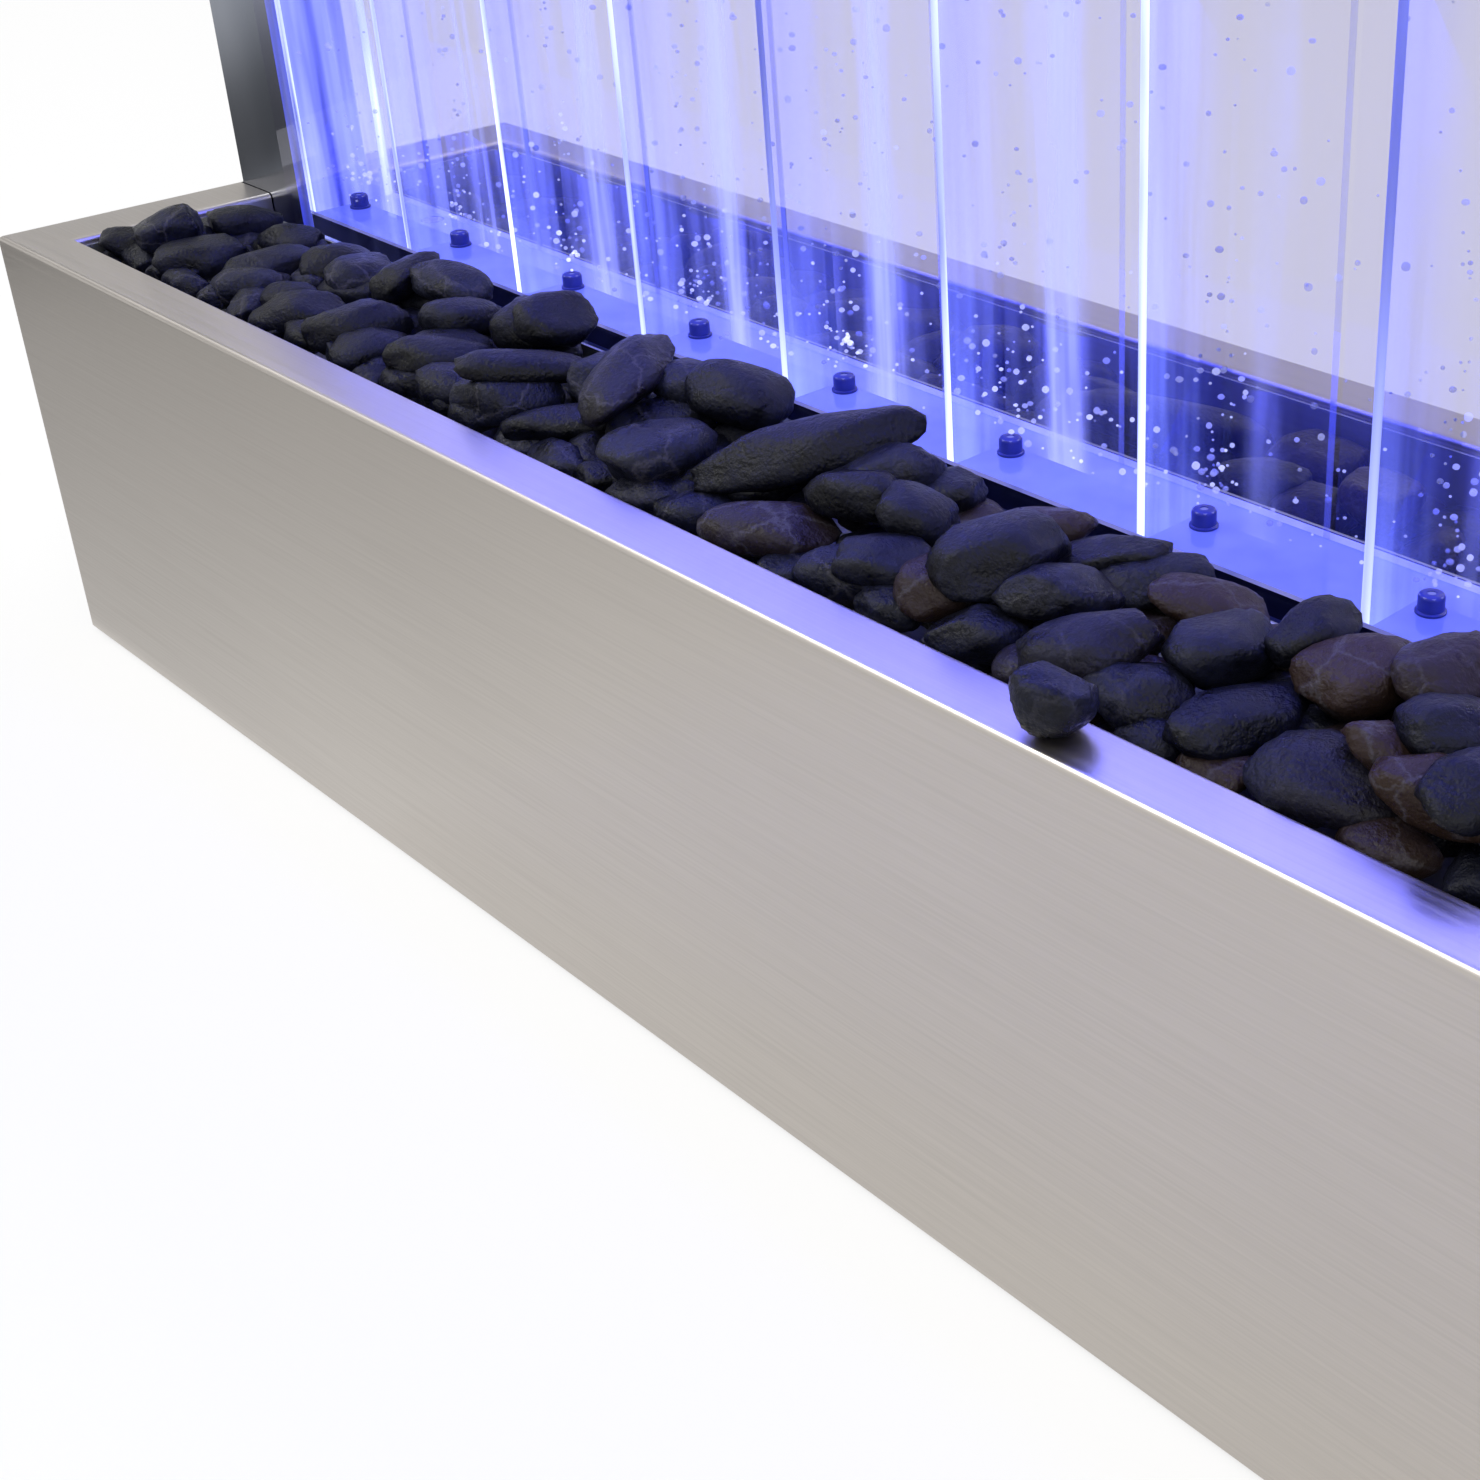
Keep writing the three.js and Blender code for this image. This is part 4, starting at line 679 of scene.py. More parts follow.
BRUSHED = BrushedSteel("brushed stainless steel", "brushed_steel")
POLISHED = PolishedSteel("polished stainless steel", "polished_steel")
MILL_STEEL = SheetMetal("mill finish steel sheet", "inner_steel")
EXTRUDED = SheetMetal("extruded aluminium", "aluminium", "c3c5c8", "aeb1b5", 0.38)
TURNED_BRASS = SheetMetal("turned brass", "brass", "c8a45a", "a98643", 0.32, 1.6, (1.0, 1.0, 1.0))
ZINC = SheetMetal("zinc plated screw steel", "inner_steel", "b5b7b5", "8f918f", 0.35, 1.2, (1.0, 1.0, 1.0))
PANEL_FACE = PanelFace("polished acrylic face", "clear_acrylic")
# The acrylic, cement seam, fine-air and bubble finishes below glow by emission and carry bluish body colours: painted
# light standing in for the LEDs' light carried up through the water.
PANEL_INSIDE = LitAcrylic(
    "acrylic face in the water",
    "clear_acrylic",
    edge=0.03,
    edge_opacity=0.03,
    edge_colour=GLOW_DEEP,
    opacity=0.03,
    haze=0.02,
)
LIT_WEB = LitAcrylic("lit acrylic web", "clear_acrylic")
DIM_WEB = LitAcrylic(
    "dim acrylic web",
    "clear_acrylic",
    Glow(0.235, 0.07, 0.13, 9, (0.4, 1.7)),
    edge=1.9,
    edge_body="4a55b4",
    haze=0.9,
)
LIT_RIB = LitAcrylic(
    "acrylic stiffening rib", "clear_acrylic", edge=0.10, edge_opacity=0.3, edge_colour="8d93b8", haze=0.02, opacity=0.05
)
LIT_BLOCK = LitAcrylic(
    "acrylic end block", "clear_acrylic", edge=0.5, edge_opacity=0.8, edge_colour="2c3cff", haze=0.85, opacity=0.8,
    haze_colour="a0abff", rear_share=0.7,
)
LIT_FLOOR = LitAcrylic(
    "lit acrylic tank floor",
    "clear_acrylic",
    Glow(0.235, uneven=(0.8, 1.25)),
    edge=0.004,
    edge_opacity=0.97,
    edge_colour=GLOW_DEEP,
    edge_body="06070c",
    haze=0.66,
    opacity=0.95,
    rear_share=1.0,
    haze_colour="7c8aff",
    colour="3c48a0",
)
SEAM = LitAcrylic(
    "solvent cement seam",
    "clear_acrylic",
    Glow(0.235, 0.5, streak_mm=18, uneven=(0.4, 1.3)),
    edge=0.26,
    edge_colour="cfc8e0",
    haze=0.26,
    haze_colour="cfc8e0",
    opacity=0.9,
    rear_share=1.0,
    colour="b9b2b4",
)
MIST = BubbleMist("fine bubbles in the water", "clear_acrylic")
THIN_MIST = BubbleMist("sparse bubbles in the water", "clear_acrylic", stream_half=0.14, opacity=0.16)
BUBBLE = AirBubble("air bubble", "clear_acrylic")
STONE = RiverStone("tumbled river stone", "river_stone")
RUBBER = Moulded("moulded rubber", "rubber", "1b1b1c", 0.75, 1.6, 0.4)
GREY_PLASTIC = Moulded("grey moulded plastic", "grey_plastic", "7d8187", 0.45)
WHITE_PLASTIC = Moulded("white moulded plastic", "white_plastic", "dfe0dd", 0.4)
BLACK_PLASTIC = Moulded("black moulded ABS", "black_plastic", "1d1e20", 0.42)
TIP_RUBBER = Moulded("blue nozzle tip rubber", "rubber", "1c2768", 0.4, 1.2, 0.1)
SILICONE = Moulded("translucent silicone hose", "hose_silicone", "c9ced2", 0.35, 3.0, 0.1, 0.7)
LED_BOARD = Moulded("white circuit board lacquer", "led_white", "e9ebee", 0.3)
LEVER_PAINT = Moulded("stove enamelled lever", "lever_paint", "1f3172", 0.35)
DARK_WINDOW = Moulded("smoked infrared window", "dark_glass", "120d10", 0.12, 2.0, 0.02)


def make_mesh(name: str, points: list[Vector | Point], faces: list[tuple[int, ...]]) -> bpy.types.Mesh:
    """Makes a mesh from its points and faces."""
    mesh = bpy.data.meshes.new(name)
    mesh.from_pydata([tuple(p) for p in points], [], faces)
    mesh.update()
    return mesh


def smooth(mesh: bpy.types.Mesh, degrees: float = 38) -> bpy.types.Mesh:
    """Shades a mesh smooth, but keeps the edges that turn more than this angle sharp."""
    mesh.shade_smooth()
    mesh.set_sharp_from_angle(angle=math.radians(degrees))
    return mesh


def add_piece(name: str, mesh: bpy.types.Mesh, body: Body, *finishes: Finish) -> bpy.types.Object:
    """Adds a mesh to the scene as a piece.

    Args:
        name: The piece's name.
        mesh: Its mesh, in the row frame.
        body: The CAD body that it moves with.
        *finishes: Its finishes, in the order of the mesh's material numbers.

    Returns:
        The new object.
    """
    made = bpy.data.objects.new(name, mesh)
    bpy.context.scene.collection.objects.link(made)
    mesh.materials.clear()
    for finish in finishes:
        mesh.materials.append(finish.material())
    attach(made, body.value)
    return made


def eased_mesh(node: str, ease_mm: float = 0.5, from_deg: float = 35) -> bpy.types.Mesh:
    """Copies a CAD node's mesh and breaks its edges, as a maker's file or mould would.

    Args:
        node: The CAD node's name.
        ease_mm: How far each edge is rounded back.
        from_deg: Edges that turn more than this are rounded.

    Returns:
        The new mesh, shaded smooth.
    """
    build = bmesh.new()
    build.from_mesh(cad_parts[node].data)
    bmesh.ops.remove_doubles(build, verts=build.verts, dist=0.01 * MM)
    bmesh.ops.dissolve_limit(
        build, angle_limit=math.radians(1), verts=build.verts[:], edges=build.edges[:]
    )
    if ease_mm:
        sharp = [e for e in build.edges if len(e.link_faces) == 2 and e.calc_face_angle(0) > math.radians(from_deg)]
        bmesh.ops.bevel(
            build, geom=sharp, offset=ease_mm * MM, segments=2, profile=0.6, affect="EDGES", clamp_overlap=True
        )
    mesh = bpy.data.meshes.new(node + "_eased")
    build.to_mesh(mesh)
    build.free()
    return smooth(mesh)


def ease_node(
    node: str, name: str, body: Body, finish: Finish, ease_mm: float = 0.5, from_deg: float = 35
) -> bpy.types.Object:
    """Puts an eased copy in the place of a CAD node.

    Args:
        node: The CAD node's name.
        name: The new piece's name.
        body: The CAD body that it moves with.
        finish: Its finish.
        ease_mm: How far each edge is rounded back.
        from_deg: Edges that turn more than this are rounded.

    Returns:
        The new object.
    """
    made = add_piece(name, eased_mesh(node, ease_mm, from_deg), body, finish)
    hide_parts(node)
    return made


def swept(name: str, section: list[list[Vector]], closed: bool = True) -> bpy.types.Mesh:
    """Joins rings of points, each ring a closed loop, into a skin.

    Args:
        name: The mesh's name.
        section: The rings, all of one length.
        closed: True where the last ring joins the first; otherwise both ends are capped.

    Returns:
        The new mesh.
    """
    count = len(section[0])
    points = [p for ring in section for p in ring]
    faces = []
    for i in range(len(section) if closed else len(section) - 1):
        after = (i + 1) % len(section)
        for j in range(count):
            k = (j + 1) % count
            faces.append((i * count + j, after * count + j, after * count + k, i * count + k))
    if not closed:
        faces.append(tuple(range(count)))
        faces.append(tuple(reversed([(len(section) - 1) * count + j for j in range(count)])))
    mesh = make_mesh(name, points, faces)
    build = bmesh.new()
    build.from_mesh(mesh)
    bmesh.ops.recalc_face_normals(build, faces=build.faces[:])
    build.to_mesh(mesh)
    build.free()
    return mesh


def turned(name: str, profile: list[tuple[float, float]], sides: int = 32) -> bpy.types.Mesh:
    """Turns a profile about Z.

    Args:
        name: The mesh's name.
        profile: Radius and height of each step, in metres, from one end to the other.
        sides: How many sides the round has.

    Returns:
        The new mesh, capped at both ends.
    """
    rings = []
    for radius, height in profile:
        turns = [2 * math.pi * i / sides for i in range(sides)]
        rings.append([Vector((radius * math.cos(t), radius * math.sin(t), height)) for t in turns])
    return smooth(swept(name, rings, closed=False))


def cut(piece: bpy.types.Object, low: Point, high: Point) -> None:
    """Cuts a block out of a piece.

    Args:
        piece: The piece to cut.
        low: The block's lowest corner.
        high: Its highest corner.
    """
    build = bmesh.new()
    bmesh.ops.create_cube(build, size=1)
    middle = (Vector(low) + Vector(high)) / 2
    size = Vector(high) - Vector(low)
    bmesh.ops.transform(build, matrix=Matrix.Translation(middle) @ Matrix.Diagonal((*size, 1)), verts=build.verts)
    tool_mesh = bpy.data.meshes.new("cutter")
    build.to_mesh(tool_mesh)
    build.free()
    tool = bpy.data.objects.new("cutter", tool_mesh)
    bpy.context.scene.collection.objects.link(tool)
    knife = piece.modifiers.new("cut", "BOOLEAN")
    knife.object = tool
    knife.operation = "DIFFERENCE"
    knife.solver = "EXACT"
    seen = piece.evaluated_get(bpy.context.evaluated_depsgraph_get())
    result = bpy.data.meshes.new_from_object(seen)
    piece.modifiers.clear()
    piece.data = result
    bpy.data.objects.remove(tool)


@dataclass
class Assembly(ABC):
    """A sub-assembly of the wall, and the pieces that it has built."""

    pieces: list[bpy.types.Object] = field(default_factory=list, init=False)

    @abstractmethod
    def build(self) -> None:
        """Builds and dresses the pieces."""


@dataclass
class BaseShell(Assembly):
    """The folded base box: outer wall, flat rim, lip and tray ledge in one mitred sheet."""

    length: float = 1.177
    depth: float = 0.312
    height: float = 0.235
    sheet: float = 0.002
    bend: float = 0.003
    end_rim: float = 0.037
    side_rim: float = 0.026
    ledge_drop: float = 0.034
    ledge: float = 0.009
    flange: float = 0.034
    foot: float = 0.003
    foot_radius: float = 0.015
    notch_half: float = 0.0205
    bend_steps: int = 8

    def section(self) -> list[tuple[float, float, float]]:
        """Gives the sheet's section: inset from the ends, inset from the sides, height."""
        top, ledge, sheet = self.height, self.height - self.ledge_drop, self.sheet

        def bent(end: float, side: float, z: float, start: float) -> list[tuple[float, float, float]]:
            """Gives the points of one outside bend."""
            turns = [start - math.pi / 2 * i / self.bend_steps for i in range(self.bend_steps + 1)]
            return [
                (end + self.bend * math.cos(t), side + self.bend * math.cos(t), z + self.bend * math.sin(t))
                for t in turns
            ]

        end, side = self.end_rim, self.side_rim
        return [
            (0, 0, self.foot),
            *bent(self.bend, self.bend, top - self.bend, math.pi),
            *bent(end - self.bend, side - self.bend, top - self.bend, math.pi / 2),
            (end, side, ledge),
            (end + self.ledge, side + self.ledge, ledge),
            (end + self.ledge, side + self.ledge, ledge - sheet),
            (end - sheet, side - sheet, ledge - sheet),
            (end - sheet, side - sheet, top - sheet),
            (sheet, sheet, top - sheet),
            (sheet, sheet, self.foot + sheet),
            (self.flange, self.flange, self.foot + sheet),
            (self.flange, self.flange, self.foot),
        ]

    def build(self) -> None:
        """Builds the shell, its feet and the screws of its trough ends."""
        rings = []
        for x, y in ((-1, -1), (1, -1), (1, 1), (-1, 1)):
            rings.append(
                [
                    Vector((x * (self.length / 2 - end), y * (self.depth / 2 - side), z))
                    for end, side, z in self.section()
                ]
            )
        shell = add_piece("folded_base", swept("folded_base", rings), Body.WALL, BRUSHED)
        ledge = self.height - self.ledge_drop
        for side in (-1, 1):
            ends = sorted(
                (side * (self.length / 2 - self.sheet), side * (self.length / 2 - self.end_rim - self.ledge - 0.005))
            )
            cut(shell, (ends[0], -self.notch_half, ledge - 0.007), (ends[1], self.notch_half, self.height + 0.005))
        rear = (self.depth / 2 - self.sheet - 0.005, self.depth / 2 + 0.005)
        for node, inset in (("service_hatch", -0.0005), ("control_plate", 0.01)):
            low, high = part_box(node)
            cut(shell, (low.x + inset, rear[0], low.z + inset), (high.x - inset, rear[1], high.z - inset))
        smooth(shell.data, 24)
        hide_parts("base_shell")
        self.pieces.append(shell)
        for node in ("front_left_foot", "rear_left_foot", "front_right_foot", "rear_right_foot"):
            self.pieces.append(self.foot_disc(node))
        for side in (-1, 1):
            self.pieces.append(self.trough_screw(side))
        self.pieces.append(ease_node("chassis_plate", "chassis_floor", Body.WALL, MILL_STEEL, 0.4))

    def foot_disc(self, node: str) -> bpy.types.Object:
        """Builds one rubber foot: a disc with a rounded edge and a shallow recess below."""
        low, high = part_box(node)
        r, h, e = self.foot_radius, self.foot, 0.0008
        profile = [(r * 0.5, 0.0008), (r * 0.56, 0), (r - e, 0), (r - 0.3 * e, 0.3 * e), (r, e), (r, h - e), (r - e, h)]
        disc = add_piece(node + "_pad", turned(node + "_pad", profile), Body.WALL, RUBBER)
        disc.data.transform(Matrix.Translation(((low.x + high.x) / 2, (low.y + high.y) / 2, 0)))
        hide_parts(node)
        return disc

    def trough_screw(self, side: int) -> bpy.types.Object:
        """Builds the round head screw and washer that hold the left or right end of the trough."""
        profile = [(0.0062, 0), (0.0062, 0.0009), (0.0058, 0.0012), (0.0042, 0.0012), (0.0042, 0.0014)]
        profile += [(0.0042 * math.cos(t), 0.0014 + 0.0022 * math.sin(t)) for t in (0.3, 0.7, 1.05, 1.35)]
        profile += [(0.0011, 0.0033), (0.0010, 0.0022)]
        name = "trough_screw_left" if side < 0 else "trough_screw_right"
        screw = add_piece(name, turned(name, profile), Body.WALL, ZINC)
        out = Matrix.Rotation(math.radians(-90 * side), 4, "Y")
        x = side * (self.length / 2 - self.end_rim)
        screw.data.transform(Matrix.Translation((x, -0.075, self.height - 0.014)) @ out)
        return screw


@dataclass
class Posts(Assembly):
    """The two polished square tubes with their brackets, and the cradle legs between them."""

    width: float = 0.074
    depth: float = 0.040
    wall: float = 0.002
    corner: float = 0.003
    corner_steps: int = 6

    def ring(self, middle: float, inset: float, z: float) -> list[Vector]:
        """Gives one round-cornered ring of the tube at a height."""
        radius = max(self.corner - inset, 0.0008)
        half_x, half_y = self.width / 2 - inset - radius, self.depth / 2 - inset - radius
        points = []
        for quarter, (x, y) in enumerate(((1, 1), (-1, 1), (-1, -1), (1, -1))):
            for step in range(self.corner_steps + 1):
                turn = math.pi / 2 * (quarter + step / self.corner_steps)
                points.append(
                    Vector((middle + x * half_x + radius * math.cos(turn), y * half_y + radius * math.sin(turn), z))
                )
        return points

    def build(self) -> None:
        """Builds both posts as open tubes, and dresses what holds them."""
        for side in ("left", "right"):
            low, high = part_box(side + "_post")
            middle, ease = (low.x + high.x) / 2, 0.0004
            rings = [
                self.ring(middle, ease, low.z),
                self.ring(middle, 0, low.z + ease),
                self.ring(middle, 0, high.z - ease),
                self.ring(middle, ease, high.z),
                self.ring(middle, self.wall, high.z),
                self.ring(middle, self.wall, low.z),
            ]
            name = side + "_upright"
            tube = add_piece(name, smooth(swept(name, rings)), Body.WALL, POLISHED)
            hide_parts(side + "_post")
            bracket = ease_node(side + "_post_bracket", side + "_angle_bracket", Body.WALL, MILL_STEEL, 0.4)
            self.pieces += [tube, bracket]
        for i in (1, 2, 3):
            leg = ease_node(f"cradle_leg_{i}", f"cradle_tube_leg_{i}", Body.WALL, MILL_STEEL, 0.4)
            self.pieces.append(leg)
        self.pieces.append(ease_node("panel_cradle", "folded_cradle", Body.WALL, MILL_STEEL, 0.4))
        self.pieces.append(ease_node("cradle_pad", "rubber_bed", Body.WALL, RUBBER, 0.3))


@dataclass
class WaterPanel(Assembly):
    """The acrylic tank: two sheets, end blocks, lit floor, webs, and the bubbles that climb in it."""

    face_y: float = 0.030
    sheet: float = 0.006
    channels: int = 10
    pitch: float = 0.100
    nozzle_offset: float = 0.010
    nozzle_radius: float = 0.0045
    floor_z: float = 0.235
    seam: float = 0.0018
    end_seam: float = 0.003
    bubbles_per_channel: int = 400
    mist_y: float = 0.004
    dim_webs: tuple[int, ...] = (4, 7, 9)
    thin_streams: tuple[int, ...] = (6, 8)

    def build(self) -> None:
        """Builds the sheets, webs, floor and bubbles."""
        for node, name, outward in (("front_sheet", "front_water_sheet", -1), ("rear_sheet", "rear_ribbed_sheet", 1)):
            self.pieces.append(self.outer_sheet(node, name, outward))
        for side in ("left", "right"):
            block = ease_node(side + "_end_block", side + "_clear_block", Body.WALL, LIT_BLOCK, 0.4)
            self.pieces.append(block)
        for i in range(1, self.channels):
            web_finish = DIM_WEB if i in self.dim_webs else LIT_WEB
            web = ease_node(f"divider_{i}", f"channel_web_{i}", Body.WALL, web_finish, 0.5)
            self.pieces.append(web)
        self.pieces.append(ease_node("tank_floor", "drilled_tank_floor", Body.WALL, LIT_FLOOR, 0))
        self.pieces += [self.seams("floor_seams", SEAM), self.seams("end_seams", LIT_WEB)]
        for i in range(self.channels):
            self.pieces.append(self.bubble_column(i))
            self.pieces.append(self.mist(i))

    def outer_sheet(self, node: str, name: str, outward: int) -> bpy.types.Object:
        """Builds one sheet; only its outer face shines, as the water takes the shine from the inner.

        Args:
            node: The CAD node that it stands for.
            name: The piece's name.
            outward: -1 where it faces the front, 1 where it faces the rear.

        Returns:
            The sheet, with outer face, inner faces and ribs as three finishes.
        """
        mesh = eased_mesh(node, 0.3)
        sheet = add_piece(name, mesh, Body.WALL, PANEL_FACE, PANEL_INSIDE, LIT_RIB)
        for face in mesh.polygons:
            outer = face.normal.y * outward > 0.9 and abs(face.center.y) > self.face_y - 0.0005
            rib = abs(face.center.y) < self.face_y - self.sheet - 0.0001
            face.material_index = 0 if outer else 2 if rib else 1
        sheet.visible_shadow = False
        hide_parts(node)
        return sheet

    def seams(self, name: str, finish: Finish) -> bpy.types.Object:
        """Builds the beads of cement that join the floor or the end blocks to the two sheets.

        Args:
            name: The piece's name: "floor_seams", or "end_seams" for the upright ones.
            finish: Its finish.

        Returns:
            The beads as one piece.
        """
        inside, end, floor = self.face_y - self.sheet, self.channels * self.pitch / 2, self.floor_z
        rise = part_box("divider_1")[1].z - floor
        build = bmesh.new()
        for y, way in ((-inside, 1), (inside, -1)):
            if name == "floor_seams":
                into = way * self.seam
                runs = [([(-end, y, floor), (-end, y + into, floor), (-end, y, floor + self.seam)], (2 * end, 0, 0))]
            else:
                into = way * self.end_seam
                runs = [
                    ([(x, y, floor), (x + side * self.end_seam, y, floor), (x, y + into, floor)], (0, 0, rise))
                    for x, side in ((-end, 1), (end, -1))
                ]
            for corner, along in runs:
                foot = [build.verts.new(p) for p in corner]
                face = build.faces.new(foot)
                grown = bmesh.ops.extrude_face_region(build, geom=[face])
                moved = [part for part in grown["geom"] if isinstance(part, bmesh.types.BMVert)]
                bmesh.ops.translate(build, verts=moved, vec=along)
        bmesh.ops.recalc_face_normals(build, faces=build.faces[:])
        mesh = bpy.data.meshes.new(name)
        build.to_mesh(mesh)
        build.free()
        made = add_piece(name, mesh, Body.WALL, finish)
        made.visible_shadow = False
        return made

    def bubble_column(self, channel: int) -> bpy.types.Object:
        """Builds the bubbles of one channel: a stream over its nozzle and strays beside it.

        Args:
            channel: The channel's number, from 0 at the left.

        Returns:
            The bubbles as one piece.
        """
        chance = random.Random(40 + channel)
        left = (channel - self.channels / 2) * self.pitch
        nozzle = left + self.nozzle_offset
        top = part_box("divider_1")[1].z - 0.02
        ball = Ball(6, 8)
        skins = []
        for _ in range(self.bubbles_per_channel):
            z = self.floor_z + 0.016 + (top - self.floor_z - 0.016) * chance.random() ** 2.2
            radius = (0.5 + 1.1 * chance.random() ** 2) * MM
            if chance.random() < 0.35:
                spread = 0.002 + 0.03 * min(1.0, (z - self.floor_z) / 0.3)
                x, y = nozzle + abs(chance.gauss(0, spread)), chance.gauss(0, 0.006)
            else:
                x, y = left + self.pitch * chance.random(), 0.044 * (chance.random() - 0.5)
            x = min(max(x, left + 0.004), left + self.pitch - 0.004)
            y = min(max(y, -0.022), 0.0195)
            flat = Matrix.Diagonal((radius, radius, radius * (0.7 + 0.3 * chance.random())))
            skins.append([flat @ point + Vector((x, y, z)) for point in ball.points])
        name = f"bubbles_{channel + 1}"
        column = add_piece(name, ball.joined(name, skins), Body.WALL, BUBBLE)
        column.visible_shadow = False
        return column

    def mist(self, channel: int) -> bpy.types.Object:
        """Builds the veil of fine air in one channel, which sways a little as it climbs.

        Args:
            channel: The channel's number, from 0 at the left.

        Returns:
            The veil, which fills the channel from web to web.
        """
        left = (channel - self.channels / 2) * self.pitch + 0.003
        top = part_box("divider_1")[1].z - 0.02
        across, up = 12, 60
        wide = self.pitch - 0.006
        points, faces = [], []
        for i in range(up + 1):
            z = self.floor_z + 0.001 + (top - self.floor_z) * i / up
            for j in range(across + 1):
                sway = 0.003 * math.sin(9 * j / across + 14 * z + 2 * channel) * min(1.0, i / 6)
                points.append((left + wide * j / across, self.mist_y + sway, z))
        step = across + 1
        for i in range(up):
            for j in range(across):
                corner = i * step + j
                faces.append((corner, corner + 1, corner + 1 + step, corner + step))
        name = f"fine_bubbles_{channel + 1}"
        finish = THIN_MIST if channel in self.thin_streams else MIST
        veil = add_piece(name, smooth(make_mesh(name, points, faces), 180), Body.WALL, finish)
        veil.visible_shadow = False
        return veil


@dataclass
class LightRail(Assembly):
    """The aluminium rail under the tank floor, its board of diodes, cover, driver and lead."""

    def build(self) -> None:
        """Dresses the rail, the board, the cover, the driver and the lead."""
        self.pieces += [
            ease_node("led_rail", "light_channel", Body.WALL, EXTRUDED, 0.3),
            ease_node("led_board", "diode_board", Body.WALL, LED_BOARD, 0.2),
            ease_node("led_cover", "light_diffuser", Body.WALL, LIT_FLOOR, 0.2),
            ease_node("led_driver", "driver_can", Body.WALL, EXTRUDED, 0.6),
            ease_node("led_lead", "driver_lead", Body.WALL, BLACK_PLASTIC, 0),
        ]


@dataclass
class AirLine(Assembly):
    """The pump and what it feeds: hose, valves and the manifold with a nozzle in each channel."""

    channels: int = 10
    pitch: float = 0.100
    nozzle_offset: float = 0.010
    tip_radius: float = 0.0047

    def build(self) -> None:
        """Dresses the air parts and turns the nozzle tips that stand in the water."""
        self.pieces += [
            ease_node("air_manifold", "nozzle_manifold", Body.WALL, GREY_PLASTIC, 0.2, 50),
            ease_node("check_valve", "one_way_valve", Body.WALL, WHITE_PLASTIC, 0.5, 50),
            ease_node("flow_valve", "flow_valve_body", Body.WALL, BLACK_PLASTIC, 0.8),
            ease_node("flow_knob", "fluted_knob", Body.KNOB, GREY_PLASTIC, 0.5, 50),
            ease_node("air_pump", "diaphragm_pump", Body.WALL, BLACK_PLASTIC, 0.5, 50),
            ease_node("pump_mount", "pump_damper", Body.WALL, RUBBER, 0.8),
            ease_node("air_hose", "air_tube", Body.WALL, SILICONE, 0),
        ]
        smooth(self.pieces[-1].data, 60)
        self.pieces.append(self.tips())

    def tips(self) -> bpy.types.Object:
        """Turns the soft tips that close the nozzles, one to a channel, as one piece."""
        low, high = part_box("tank_floor")
        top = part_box("air_manifold")[1].z + 0.0003
        r = self.tip_radius
        profile = [
            (r + 0.0008, high.z + 0.0002),
            (r + 0.0008, high.z + 0.0010),
            (r, high.z + 0.0014),
            (r, top - 0.0012),
            (r - 0.0004, top - 0.0004),
            (r - 0.0012, top),
            (0.0016, top),
            (0.0012, top - 0.0020),
        ]
        tip = turned("tip", profile, 24)
        points, faces = [], []
        for i in range(self.channels):
            x = (i - self.channels / 2) * self.pitch + self.nozzle_offset
            start = len(points)
            points += [vert.co + Vector((x, (low.y + high.y) / 2, 0)) for vert in tip.vertices]
            faces += [tuple(start + v for v in face.vertices) for face in tip.polygons]
        bpy.data.meshes.remove(tip)
        return add_piece("nozzle_tips", smooth(make_mesh("nozzle_tips", points, faces)), Body.WALL, TIP_RUBBER)


@dataclass
class DrainLine(Assembly):
    """The drain: pipe from the tank floor, hose and lever valve."""

    def build(self) -> None:
        """Dresses the drain parts."""
        self.pieces += [
            ease_node("drain_pipe", "drain_stub", Body.WALL, GREY_PLASTIC, 0.3, 50),
            ease_node("drain_hose", "drain_tube", Body.WALL, SILICONE, 0),
            ease_node("drain_valve", "lever_valve_body", Body.WALL, TURNED_BRASS, 0.6, 50),
            ease_node("drain_lever", "valve_lever", Body.LEVER, LEVER_PAINT, 0.6, 50),
        ]
        smooth(self.pieces[1].data, 60)


@dataclass
class RearFittings(Assembly):
    """What shows on the rear wall: control plate with switch, inlet and window, and the hatch."""

    screw_radius: float = 0.0032

    def build(self) -> None:
        """Dresses the plates and their fittings and sets the screws that hold the hatch."""
        self.pieces += [
            ease_node("control_plate", "rear_control_plate", Body.WALL, BLACK_PLASTIC, 0.5),
            ease_node("switch_housing", "rocker_bezel", Body.WALL, BLACK_PLASTIC, 0.4),
            ease_node("power_switch", "rocker", Body.SWITCH, GREY_PLASTIC, 0.4),
            ease_node("power_inlet", "mains_inlet", Body.WALL, BLACK_PLASTIC, 0.3),
            ease_node("ir_window", "remote_window", Body.WALL, DARK_WINDOW, 0.2, 50),
            ease_node("control_box", "control_housing", Body.WALL, GREY_PLASTIC, 1.0),
            ease_node("service_hatch", "vented_hatch", Body.HATCH, BRUSHED, 0.5),
            ease_node("hatch_frame", "hatch_ledge", Body.WALL, MILL_STEEL, 0.4),
        ]
        low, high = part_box("service_hatch")
        for i, (x, z) in enumerate(self.corners(low, high, 0.010)):
            self.pieces.append(self.screw(f"hatch_screw_{i + 1}", Body.HATCH, (x, high.y, z)))

    def corners(self, low: Vector, high: Vector, inset: float) -> list[tuple[float, float]]:
        """Gives the four places near the corners of a plate in the rear wall."""
        return [(x, z) for x in (low.x + inset, high.x - inset) for z in (low.z + inset, high.z - inset)]

    def screw(self, name: str, body: Body, place: Point) -> bpy.types.Object:
        """Turns a countersunk socket screw that lies flush in a plate's rear face."""
        r = self.screw_radius
        profile = [(r, -0.0006), (r, 0.0002), (r * 0.9, 0.0005), (r * 0.5, 0.0005), (r * 0.46, -0.0012)]
        screw = add_piece(name, turned(name, profile, 18), body, ZINC)
        screw.data.transform(Matrix.Translation(place) @ Matrix.Rotation(math.radians(-90), 4, "X"))
        return screw


